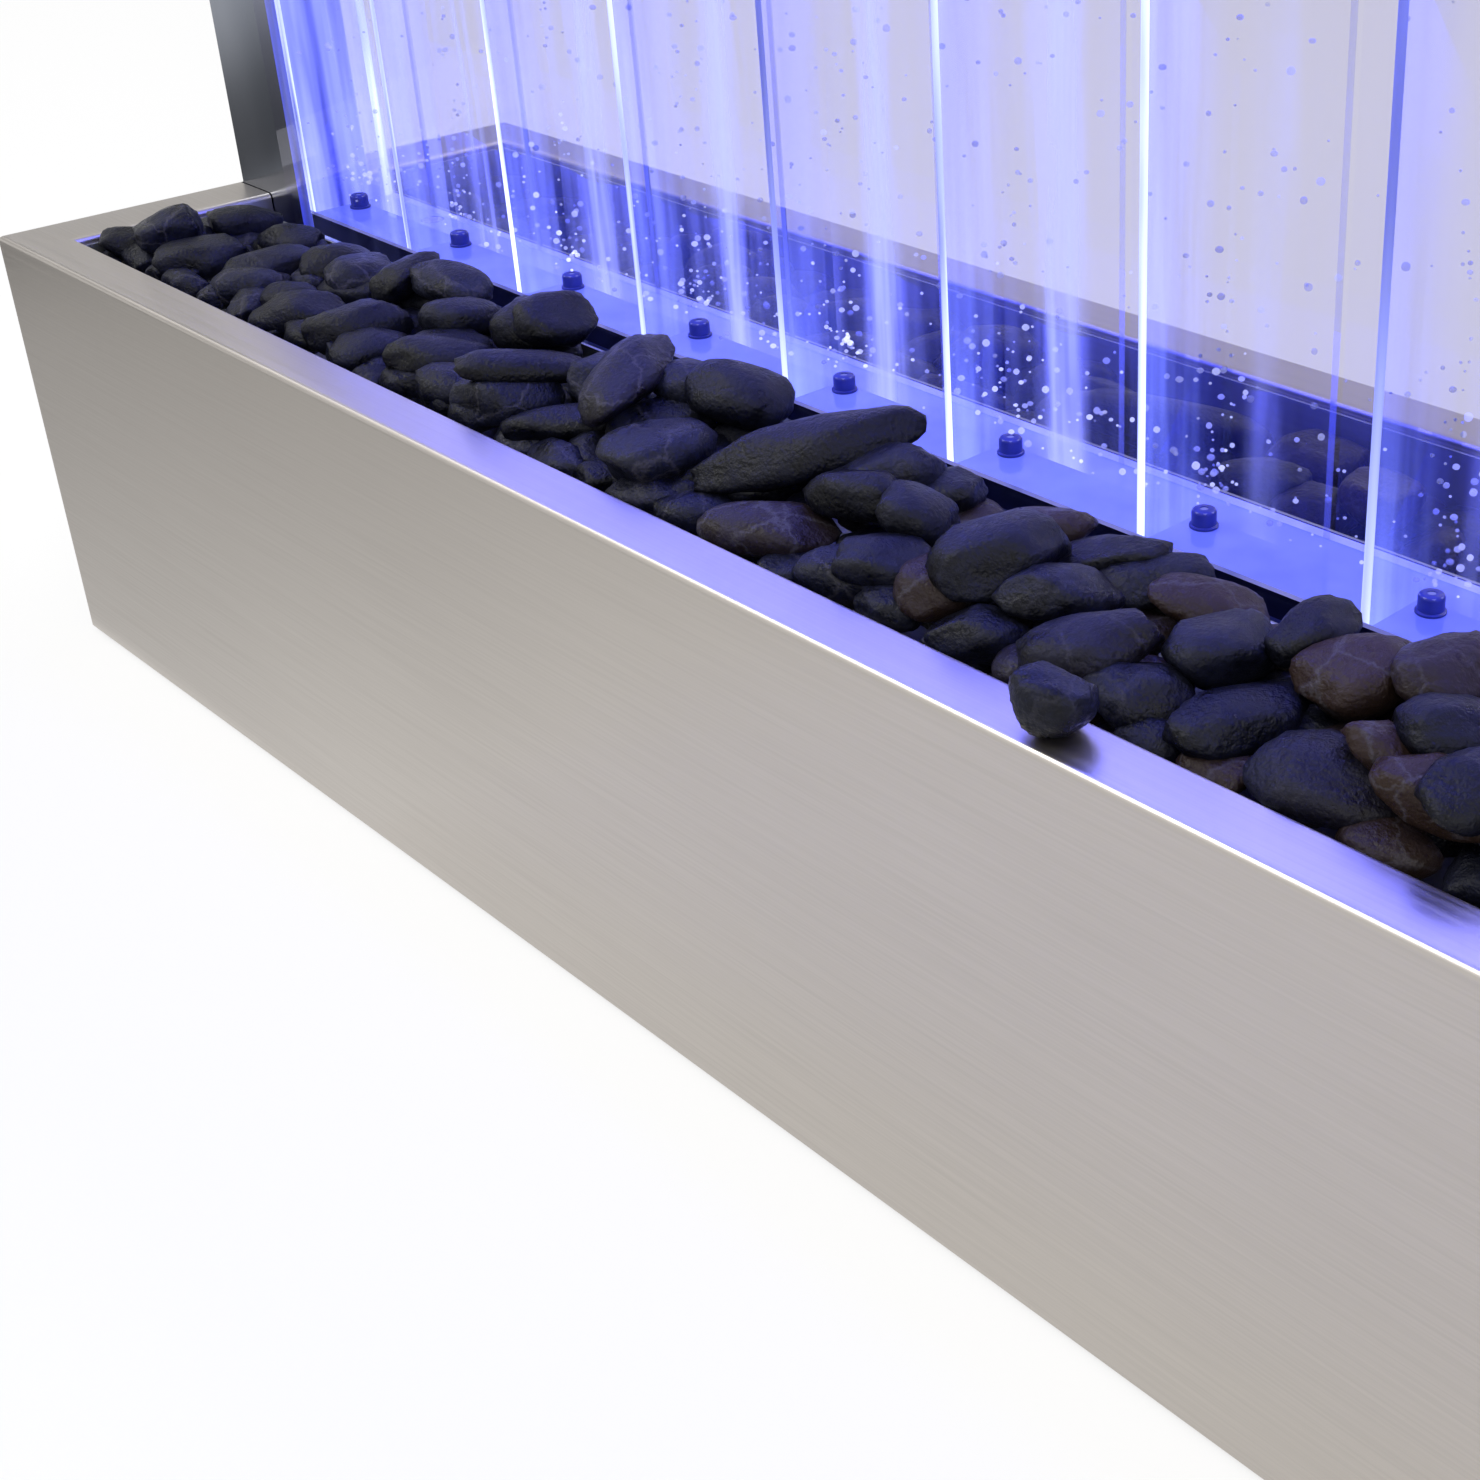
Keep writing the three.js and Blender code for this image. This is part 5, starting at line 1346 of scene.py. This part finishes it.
@dataclass
class Header(Assembly):
    """The steel cap over the panel and the lid of its fill opening."""

    def build(self) -> None:
        """Dresses the cap and the lid."""
        self.pieces += [
            ease_node("header_shell", "folded_header", Body.WALL, BRUSHED, 1.2),
            ease_node("fill_lid", "fill_cover", Body.FILL_LID, BRUSHED, 0.5),
        ]


@dataclass
class Ball:
    """A round skin of radius 1, from which many small pieces of one mesh are shaped."""

    rings: int
    around: int
    points: list[Vector] = field(default_factory=list, init=False)
    faces: list[tuple[int, ...]] = field(default_factory=list, init=False)

    def __post_init__(self) -> None:
        """Builds the points and faces, with the poles on Z."""
        build = bmesh.new()
        bmesh.ops.create_uvsphere(build, u_segments=self.around, v_segments=self.rings, radius=1)
        self.points = [vert.co.copy() for vert in build.verts]
        self.faces = [tuple(vert.index for vert in face.verts) for face in build.faces]
        build.free()

    def joined(self, name: str, skins: list[list[Vector]]) -> bpy.types.Mesh:
        """Joins skins that were shaped from this ball into one smooth mesh."""
        points = [point for skin in skins for point in skin]
        step = len(self.points)
        faces = [tuple(i + n * step for i in face) for n in range(len(skins)) for face in self.faces]
        return smooth(make_mesh(name, points, faces), 180)


Row = tuple[float, float, float, float, float]

# Stones in the front tray: place along and across it, then length and width as shares of a common
# stone, then the turn of the long side in degrees. The lowest come first; the first nine lie along
# the panel and prop the ones that lean on them.
FRONT_STONES: tuple[Row, ...] = (
    (0.2, 0.9, 1.2, 0.62, 4), (0.285, 0.9, 1.25, 0.62, 176), (0.385, 0.9, 1.3, 0.62, 3),
    (0.43, 0.9, 1.2, 0.66, 8), (0.475, 0.9, 1.3, 0.62, 175), (0.53, 0.9, 1.25, 0.6, 4),
    (0.575, 0.9, 1.2, 0.64, 178), (0.62, 0.9, 1.25, 0.6, 6), (0.72, 0.9, 1.3, 0.62, 2),
    (0.013, 0.21, 0.85, 0.6, 70), (0.036, 0.42, 0.8, 0.6, 65), (0.037, 0.75, 1, 0.6, 90),
    (0.074, 0.83, 0.9, 0.62, 20), (0.118, 0.27, 0.85, 0.6, 33), (0.145, 0.35, 0.75, 0.55, 40),
    (0.17, 0.24, 1.05, 0.65, 52), (0.232, 0.22, 0.85, 0.6, 84), (0.294, 0.2, 0.85, 0.62, 20),
    (0.257, 0.46, 1, 0.65, 60), (0.362, 0.32, 1.3, 0.6, 48), (0.395, 0.56, 1.15, 0.6, 65),
    (0.442, 0.4, 1, 0.55, 54), (0.463, 0.51, 1, 0.62, 85), (0.492, 0.22, 1.25, 0.65, 32),
    (0.535, 0.2, 0.95, 0.6, 33), (0.558, 0.17, 0.6, 0.45, 25), (0.547, 0.24, 0.95, 0.6, 32),
    (0.572, 0.28, 0.85, 0.62, 87), (0.598, 0.18, 0.9, 0.62, 30), (0.527, 0.8, 0.85, 0.5, 47),
    (0.624, 0.78, 1.05, 0.5, 48), (0.658, 0.23, 0.9, 0.7, 5), (0.674, 0.82, 0.8, 0.6, 36),
    (0.702, 0.85, 0.8, 0.55, 18), (0.704, 0.53, 0.6, 0.45, 35), (0.728, 0.22, 1.2, 0.8, 18),
    (0.741, 0.33, 0.85, 0.5, 32), (0.763, 0.25, 1, 0.6, 17), (0.611, 0.43, 1.05, 0.62, 59),
    (0.638, 0.27, 1.2, 0.68, 42), (0.691, 0.32, 1.25, 0.65, 73), (0.71, 0.62, 1, 0.7, 56),
    (0.734, 0.75, 0.9, 0.65, 59), (0.752, 0.51, 1, 0.8, 68), (0.067, 0.31, 1.1, 0.72, 66),
    (0.102, 0.55, 1.25, 0.62, 78), (0.125, 0.77, 0.95, 0.65, 63), (0.148, 0.76, 0.9, 0.68, 95),
    (0.191, 0.76, 0.92, 0.7, 106), (0.218, 0.82, 1, 0.62, 21), (0.211, 0.31, 1.15, 0.8, 63),
    (0.246, 0.66, 0.9, 0.72, 83), (0.273, 0.34, 1.25, 0.62, 50), (0.285, 0.77, 1.05, 0.82, 28),
    (0.307, 0.74, 0.9, 0.7, 79), (0.326, 0.29, 1.1, 0.85, 60), (0.329, 0.36, 1.35, 0.5, 59),
    (0.351, 0.63, 0.9, 0.6, 98), (0.392, 0.79, 0.85, 0.72, 54), (0.423, 0.29, 1.15, 0.85, 74),
    (0.505, 0.69, 1.2, 0.75, 40), (0.513, 0.46, 1.05, 0.55, 12), (0.543, 0.5, 0.8, 0.65, 48),
    (0.602, 0.76, 1.2, 0.55, 34), (0.586, 0.42, 1.2, 0.85, 69), (0.565, 0.82, 1.2, 0.5, 30),
    (0.648, 0.78, 1.1, 0.6, 30), (0.669, 0.52, 1, 0.72, 72), (0.689, 0.72, 0.8, 0.52, 70),
    (0.039, 0.32, 0.85, 0.75, 68), (0.379, 0.53, 1.35, 0.72, 112), (0.419, 0.78, 1.05, 0.75, 32),
    (0.478, 0.58, 2.3, 0.72, 46),
)
SHOWN_LENGTH_SHARE = 0.77


@dataclass
class Pebble:
    """One stone: half sizes, how it is turned, and where it lies."""

    half: Vector
    turn: Quaternion
    x: float = 0.0
    y: float = 0.0
    z: float = 0.0
    index: int = 0
    spread: Matrix = field(init=False)
    inverse: Matrix = field(init=False)
    skin: BVHTree | None = field(default=None, init=False)

    def __post_init__(self) -> None:
        """Works out the ellipsoid's matrix in the row frame, and its inverse."""
        turned_by = self.turn.to_matrix()
        self.spread = turned_by @ Matrix.Diagonal([h * h for h in self.half]) @ turned_by.transposed()
        self.inverse = self.spread.inverted()

    def heights(self, u: float, v: float) -> tuple[float, float] | None:
        """Gives the heights of its underside and top over a place, from its middle, or None off it."""
        m = self.inverse
        b = m[0][2] * u + m[1][2] * v
        c = m[0][0] * u * u + 2 * m[0][1] * u * v + m[1][1] * v * v - 1
        root = b * b - m[2][2] * c
        if root < 0:
            return None
        reach = math.sqrt(root) / m[2][2]
        return -b / m[2][2] - reach, -b / m[2][2] + reach

    def reach(self) -> tuple[float, float]:
        """Gives how far it reaches from its middle along X and along Y."""
        return math.sqrt(self.spread[0][0]), math.sqrt(self.spread[1][1])

    def rough_skin(self, around: int, rings: int) -> tuple[list[Vector], list[tuple[int, ...]]]:
        """Builds the stone with few faces, blunt and a little uneven, as it settles.

        Args:
            around: Faces round the long side.
            rings: Faces along it.

        Returns:
            Points and faces, at the stone's own middle.
        """
        points, faces = [], []
        for i in range(rings + 1):
            for j in range(around + 1):
                phi, theta = 2 * math.pi * j / around, math.pi * i / rings
                place = Vector((-math.cos(theta), -math.cos(phi) * math.sin(theta), math.sin(phi) * math.sin(theta)))
                uneven = 1 - 0.05 * (1 + math.sin(3 * place.x + 2 * place.y + self.index)) / 2
                blunt = [math.copysign(abs(v) ** 0.88, v) * uneven for v in place]
                points.append(self.turn @ Vector([v * h for v, h in zip(blunt, self.half)]))
        wide = around + 1
        for i in range(rings):
            for j in range(around):
                a, b, c, d = i * wide + j, i * wide + j + 1, (i + 1) * wide + j + 1, (i + 1) * wide + j
                faces += [(a, b, c), (a, c, d)]
        return points, faces

    def worn_skin(self, ball: "Ball", chance: random.Random) -> list[Vector]:
        """Gives the points of the stone as it shows: rounded, with a few worn flats and slow dents.

        Args:
            ball: The round skin that it is worn from.
            chance: Where its unevenness comes from.

        Returns:
            The skin's points, in the row frame.
        """
        shift = Vector([chance.uniform(-50, 50) for _ in range(3)])
        flats = []
        for _ in range(7):
            way = Vector([chance.gauss(0, 1) for _ in range(3)]).normalized()
            flats.append((way, chance.uniform(0.72, 0.92)))
        middle = Vector((self.x, self.y, self.z))
        points = []
        for start in ball.points:
            place = Vector([math.copysign(abs(v) ** 0.84, v) for v in start])
            for way, reach in flats:
                over = place.dot(way) - reach
                if over > 0:
                    place -= way * over * 0.85
            place *= 1 + 0.12 * noise.noise(start * 1.3 + shift) + 0.06 * noise.noise(start * 3.1 + shift)
            local = Vector((place.z * self.half.x * 0.96, place.x * self.half.y, place.y * self.half.z * 1.12))
            points.append(self.turn @ local + middle)
        return points


@dataclass
class StoneBed(Assembly):
    """A steel tray filled with river stones, each settled on the ones under it."""

    side: str = "front"
    body: Body = Body.FRONT_BED
    mirrored: bool = False
    faces: tuple[int, int] = (6, 4)
    stone: float = 0.044
    flatness: float = 0.6
    bed: float = 0.026
    bedding: float = 0.003
    margin: float = 0.0015
    tray_sheet: float = 0.0015
    seat: float = 0.0003
    most_tilt: float = math.radians(24)
    tilt_share: float = 0.6
    under_stones: int = 150

    def rows(self) -> list[Row]:
        """Gives the table of stones, repeated to fill the right end, and mirrored for the rear."""
        moved = SHOWN_LENGTH_SHARE - 0.01
        repeated = [(row[0] + moved, *row[1:]) for row in FRONT_STONES if row[0] + SHOWN_LENGTH_SHARE < 1]
        rows = [*FRONT_STONES, *repeated]
        return [(1 - a, 1 - b, *rest) for a, b, *rest in rows] if self.mirrored else rows

    def surface(self, lying: list[Pebble], x: float, y: float) -> float:
        """Gives the height of the bed's surface over a place."""
        tops = [self.floor]
        for other in lying:
            over = other.heights(x - other.x, y - other.y)
            if over:
                tops.append(other.z + over[1])
        return max(tops)

    def resting(self, stone: Pebble, lying: list[Pebble]) -> float:
        """Gives the height at which a stone comes to rest on what lies there already."""
        reach_x, reach_y = stone.reach()
        best = self.floor
        for share in (0, 0.35, 0.6, 0.8, 0.93):
            for i in range(12):
                turn = math.pi * i / 6
                u, v = share * reach_x * math.cos(turn), share * reach_y * math.sin(turn)
                under = stone.heights(u, v)
                if under:
                    best = max(best, self.surface(lying, stone.x + u, stone.y + v) - under[0])
        return best

    def spot(self, stone: Pebble, along: float, across: float) -> tuple[float, float]:
        """Gives a stone's place in the tray, held clear of the tray's walls."""
        places = []
        for share, (low, high), reach in ((along, self.x, stone.reach()[0]), (across, self.y, stone.reach()[1])):
            room = reach + self.margin
            places.append(min(max(low + share * (high - low), low + room), high - room))
        return places[0], places[1]

    def shaped(self, size: Vector, turn_deg: float, tilt: tuple[float, float] = (0, 0)) -> Pebble:
        """Makes a stone of a size, turned and leaning."""
        lean = Quaternion((1, 0, 0), tilt[0]) @ Quaternion((0, 1, 0), tilt[1])
        return Pebble(size / 2, lean @ Quaternion((0, 0, 1), math.radians(turn_deg)))

    def lay(self, lying: list[Pebble], row: Row) -> Pebble:
        """Lays one stone: it leans with what is under it and settles until it beds on it.

        Args:
            lying: The stones that lie there already.
            row: The stone's line in the table.

        Returns:
            The stone in its place.
        """
        along, across, length, width, turn_deg = row
        size = Vector((length, width, width * self.flatness)) * self.stone
        level = self.shaped(size, turn_deg)
        x, y = self.spot(level, along, across)
        step = size.y / 2

        def slope(rise: float) -> float:
            """Gives the lean for a rise over two steps."""
            lean = self.tilt_share * math.atan(rise / (2 * step))
            return min(max(lean, -self.most_tilt), self.most_tilt)

        tilt_x = slope(self.surface(lying, x, y + step) - self.surface(lying, x, y - step))
        tilt_y = slope(self.surface(lying, x - step, y) - self.surface(lying, x + step, y))
        stone = self.shaped(size, turn_deg, (tilt_x, tilt_y))
        stone.x, stone.y = self.spot(stone, along, across)
        stone.index = len(lying)
        near = [
            other
            for other in lying
            if math.hypot(other.x - stone.x, other.y - stone.y) < other.half.x + stone.half.x
        ]
        rough, faces = stone.rough_skin(*self.faces)
        lowest = min(p.z for p in rough)

        def touches(z: float) -> bool:
            """Tells whether the stone at a height touches the floor or a stone that lies there."""
            moved = [p + Vector((stone.x, stone.y, z)) for p in rough]
            stone.skin = BVHTree.FromPolygons(moved, faces)
            return lowest + z < self.floor or any(stone.skin.overlap(other.skin) for other in near)

        z = self.resting(stone, near) - self.bedding
        while not touches(z + self.bedding) or not touches(z):
            z -= self.bedding / 2
        stone.z = z
        return stone

    def build(self) -> None:
        """Dresses the tray and fills it."""
        low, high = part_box(self.side + "_tray")
        clear = self.tray_sheet + self.seat
        self.x = (low.x + clear, high.x - clear)
        self.y = (low.y + clear, high.y - clear)
        self.floor = low.z + self.tray_sheet + self.bed
        self.pieces.append(ease_node(self.side + "_tray", self.side + "_folded_tray", self.body, MILL_STEEL, 0.3))
        lying: list[Pebble] = []
        for row in self.rows():
            lying.append(self.lay(lying, row))
        chance = random.Random(7 if self.mirrored else 3)
        stones = [*lying, *self.under_layer(chance)]
        ball = Ball(15, 22)
        mesh = ball.joined(self.side + "_pebbles", [stone.worn_skin(ball, chance) for stone in stones])
        heap = add_piece(self.side + "_pebbles", mesh, self.body, STONE)
        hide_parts(self.side + "_stones")
        self.pieces.append(heap)
        log.info("%s bed: %d stones, top %.1f mm", self.side, len(lying), max(v.co.z for v in mesh.vertices) / MM)

    def under_layer(self, chance: random.Random) -> list[Pebble]:
        """Scatters the stones of the layer below, which fill the gaps between the ones that show."""
        stones = []
        for i in range(self.under_stones):
            size = Vector((chance.uniform(0.6, 0.9), chance.uniform(0.45, 0.6), chance.uniform(0.3, 0.36)))
            stone = self.shaped(size * self.stone, chance.uniform(0, 180))
            along = (i + chance.random()) / self.under_stones
            stone.x, stone.y = self.spot(stone, along, (i % 4 + chance.random()) / 4)
            stone.z = self.floor + chance.uniform(-0.6, 0.1) * stone.half.z
            stones.append(stone)
        return stones


@dataclass
class RimStone(Assembly):
    """The loose stone that lies on the front rim."""

    stone: float = 0.044
    shares: Point = (0.7, 0.55, 0.45)
    turn_deg: float = 20

    def build(self) -> None:
        """Builds the stone where the CAD node lies, a hair above the rim."""
        low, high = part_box("rim_stone")
        size = Vector(self.shares) * self.stone
        stone = Pebble(size / 2 * 0.97, Quaternion((0, 0, 1), math.radians(self.turn_deg)))
        stone.x, stone.y, stone.z = (low + high) / 2
        ball = Ball(20, 30)
        mesh = ball.joined("loose_rim_stone", [stone.worn_skin(ball, random.Random(12))])
        made = add_piece("loose_rim_stone", mesh, Body.FRONT_BED, STONE)
        made.data.transform(Matrix.Translation((0, 0, low.z - min(v.co.z for v in mesh.vertices))))
        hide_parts("rim_stone")
        self.pieces.append(made)


@dataclass
class Lamp:
    """One soft lamp: where it stands, what it looks at, its size and its light."""

    name: str
    place: Point
    target: Point
    size: tuple[float, float]
    watts: float
    colour: str = "ffffff"
    lights_dull: bool = True
    lights_shine: bool = True

    def build(self) -> None:
        """Adds the lamp to the scene. The camera doesn't see it."""
        light = bpy.data.lights.new(self.name, "AREA")
        light.shape = "RECTANGLE"
        light.size, light.size_y = self.size
        light.energy = self.watts
        light.color = linear(self.colour)[:3]
        lamp = bpy.data.objects.new(self.name, light)
        lamp.location = self.place
        way = Vector(self.target) - Vector(self.place)
        lamp.rotation_euler = way.to_track_quat("-Z", "Y").to_euler()
        lamp.visible_camera = False
        lamp.visible_transmission = False
        lamp.visible_diffuse = self.lights_dull
        lamp.visible_glossy = self.lights_shine
        bpy.context.scene.collection.objects.link(lamp)


@dataclass
class Flag:
    """A grey card that only metal and stone see as a reflection. Its tone runs from edge to edge."""

    name: str
    corners: tuple[Point, Point, Point, Point]
    tones: tuple[float, float, float]

    def build(self) -> None:
        """Adds the card to the scene as part of the stage, in two halves along its first side."""
        a, b, c, d = (Vector(corner) for corner in self.corners)
        points = [a, (a + b) / 2, b, c, (c + d) / 2, d]
        mesh = make_mesh(self.name, points, [(0, 1, 4, 5), (1, 2, 3, 4)])
        start, middle, end = self.tones
        layer = mesh.color_attributes.new("tone", "FLOAT_COLOR", "POINT")
        for spot, tone in zip(layer.data, (start, middle, end, end, middle, start)):
            spot.color = (tone, tone, tone, 1.0)
        paint = bpy.data.materials.new(self.name)
        paint.use_nodes = True
        tree = paint.node_tree
        tree.nodes.clear()
        tone = add_node(tree, "VertexColor", layer_name="tone")
        shine = add_node(tree, "Emission", {"Color": tone.outputs["Color"]})
        output = add_node(tree, "OutputMaterial")
        tree.links.new(shine.outputs[0], output.inputs["Surface"])
        card = bpy.data.objects.new(self.name, mesh)
        card.data.materials.append(paint)
        card.visible_camera = False
        card.visible_diffuse = False
        card.visible_transmission = False
        card.visible_shadow = False
        bpy.context.scene.collection.objects.link(card)
        card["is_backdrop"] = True


@dataclass
class Studio:
    """Pale floor, white surround, soft lamps, the panel's own blue light, and the camera."""

    floor_half: float = 9.0
    surround: float = 0.55
    lens: float = 51.66
    camera_place: Point = (0.5621, -0.5435, 0.5685)
    yaw: float = math.radians(44.78)
    pitch: float = math.radians(27.04)
    roll: float = math.radians(-0.92)
    shift: tuple[float, float] = (-0.2, -0.1)

    def seen(self, tree: bpy.types.NodeTree) -> bpy.types.NodeSocket:
        """Gives 1 for rays from the camera, a reflection or through glass, and 0 for the rest."""
        path = add_node(tree, "LightPath").outputs
        near = add_node(
            tree, "Math", {0: path["Is Camera Ray"], 1: path["Is Glossy Ray"]}, operation="MAXIMUM"
        )
        both = add_node(
            tree, "Math", {0: near.outputs[0], 1: path["Is Transmission Ray"]}, operation="MAXIMUM"
        )
        return both.outputs[0]

    def build(self) -> None:
        """Builds the studio."""
        scene = bpy.context.scene
        scene.view_settings.view_transform = "Standard"
        world = bpy.data.worlds.new("white surround")
        world.use_nodes = True
        tree = world.node_tree
        tree.nodes.clear()
        level = add_node(tree, "MapRange", {"Value": self.seen(tree), "To Min": self.surround, "To Max": 1.0})
        sky = add_node(tree, "Background", {"Color": (1, 1, 1, 1), "Strength": level.outputs["Result"]})
        output = add_node(tree, "OutputWorld")
        tree.links.new(sky.outputs[0], output.inputs["Surface"])
        scene.world = world
        self.build_floor()
        for lamp in (
            Lamp("key", (-2.4, -2.3, 4.3), (0, 0, 0.6), (2.4, 2.4), 140),
            Lamp("fill", (2.8, -1.8, 2.2), (0, 0, 0.6), (2.4, 2.4), 45),
            Lamp("back", (0.5, 3.0, 2.8), (0, 0, 0.9), (2.4, 1.6), 50),
            Lamp("panel light on stones", (0, -0.036, 0.47), (0, -0.50, 0.10), (0.84, 0.26), 3.0, "3c4cff"),
            Lamp("panel light on rim", (-0.05, -0.033, 0.33), (-0.05, -0.20, 0.20), (1.0, 0.16), 0.5, "a8a2e0", False),
            Lamp("panel light behind", (0, 0.033, 0.33), (0, 0.20, 0.20), (1.0, 0.16), 2.0, "2c3cf0"),
        ):
            lamp.build()
        for flag in (
            Flag(
                "left card high",
                ((-1.4, -1.1, 0.4), (-1.4, -1.1, 0.7), (-1.4, 0.9, 0.7), (-1.4, 0.9, 0.4)),
                (0.05, 0.5, 1.0),
            ),
            Flag(
                "left card low",
                ((-1.4, -1.1, 0), (-1.4, -1.1, 0.18), (-1.4, 0.2, 0.18), (-1.4, 0.2, 0)),
                (0.11, 0.24, 1.1),
            ),
            Flag(
                "floor card near",
                ((-0.28, -1.2, 0.002), (-0.92, -1.2, 0.002), (-0.92, -0.16, 0.002), (-0.28, -0.16, 0.002)),
                (1.0, 0.76, 0.6),
            ),
            Flag(
                "floor card far",
                ((-0.92, -1.2, 0.002), (-1.40, -1.2, 0.002), (-1.40, -0.16, 0.002), (-0.92, -0.16, 0.002)),
                (0.6, 0.56, 0.45),
            ),
        ):
            flag.build()
        self.build_camera()

    def build_floor(self) -> None:
        """Lays the pale floor: it keeps the object's shadow, and fades to white further out."""
        half = self.floor_half
        corners = [(-half, -half, 0), (half, -half, 0), (half, half, 0), (-half, half, 0)]
        floor = bpy.data.objects.new("studio_floor", make_mesh("studio_floor", corners, [(0, 1, 2, 3)]))
        bpy.context.scene.collection.objects.link(floor)
        paint = bpy.data.materials.new("pale studio floor")
        paint.use_nodes = True
        tree = paint.node_tree
        tree.nodes.clear()
        lit = add_node(tree, "BsdfDiffuse", {"Color": linear("efefef")})
        glow = add_node(tree, "Emission", {"Color": (1, 1, 1, 1), "Strength": 1.0})
        where = add_node(tree, "TexCoord").outputs["Object"]
        away = add_node(tree, "VectorMath", {0: where}, operation="LENGTH").outputs["Value"]
        white = add_node(
            tree, "MapRange", {"Value": away, "From Min": 1.2, "From Max": 4.5, "To Min": 0.72, "To Max": 1.0}
        )
        share = add_node(
            tree, "Math", {0: self.seen(tree), 1: white.outputs["Result"]}, operation="MULTIPLY"
        )
        mixed = add_node(tree, "MixShader", {0: share.outputs[0], 1: lit.outputs[0], 2: glow.outputs[0]})
        output = add_node(tree, "OutputMaterial")
        tree.links.new(mixed.outputs[0], output.inputs["Surface"])
        floor.data.materials.append(paint)
        floor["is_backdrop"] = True

    def build_camera(self) -> None:
        """Sets the camera where the photograph was taken from."""
        side = Vector((math.cos(self.yaw), math.sin(self.yaw), 0))
        ahead = Vector(
            (-math.sin(self.yaw) * math.cos(self.pitch), math.cos(self.yaw) * math.cos(self.pitch), -math.sin(self.pitch))
        )
        up = side.cross(ahead)
        right = math.cos(self.roll) * side + math.sin(self.roll) * up
        above = -math.sin(self.roll) * side + math.cos(self.roll) * up
        view = bpy.data.cameras.new("camera")
        view.sensor_width = 36
        view.lens = self.lens
        view.shift_x, view.shift_y = self.shift
        view.clip_start = 0.02
        camera = bpy.data.objects.new("camera", view)
        camera.matrix_world = Matrix.Translation(self.camera_place) @ Matrix(
            (right, above, -ahead)
        ).transposed().to_4x4()
        bpy.context.scene.collection.objects.link(camera)
        bpy.context.scene.camera = camera


def main() -> None:
    """Builds the wall, assembly by assembly, and then the studio round it."""
    logging.basicConfig(level=logging.INFO, format="%(name)s: %(message)s", stream=sys.stdout)
    assemblies: list[Assembly] = [
        BaseShell(),
        Posts(),
        WaterPanel(),
        LightRail(),
        AirLine(),
        DrainLine(),
        RearFittings(),
        Header(),
        StoneBed(),
        StoneBed(side="rear", body=Body.REAR_BED, mirrored=True, faces=(6, 3), bed=0.005),
        RimStone(),
    ]
    for assembly in assemblies:
        assembly.build()
        for piece in assembly.pieces:
            log.info("%s: %s, %d faces", type(assembly).__name__, piece.name, len(piece.data.polygons))
    Studio().build()
    boxes = {"cad": cad_box, "visual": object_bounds()}
    {key: [[float(v) for v in corner] for corner in box] for key, box in boxes.items()}


if __name__ == "__main__":
    main()
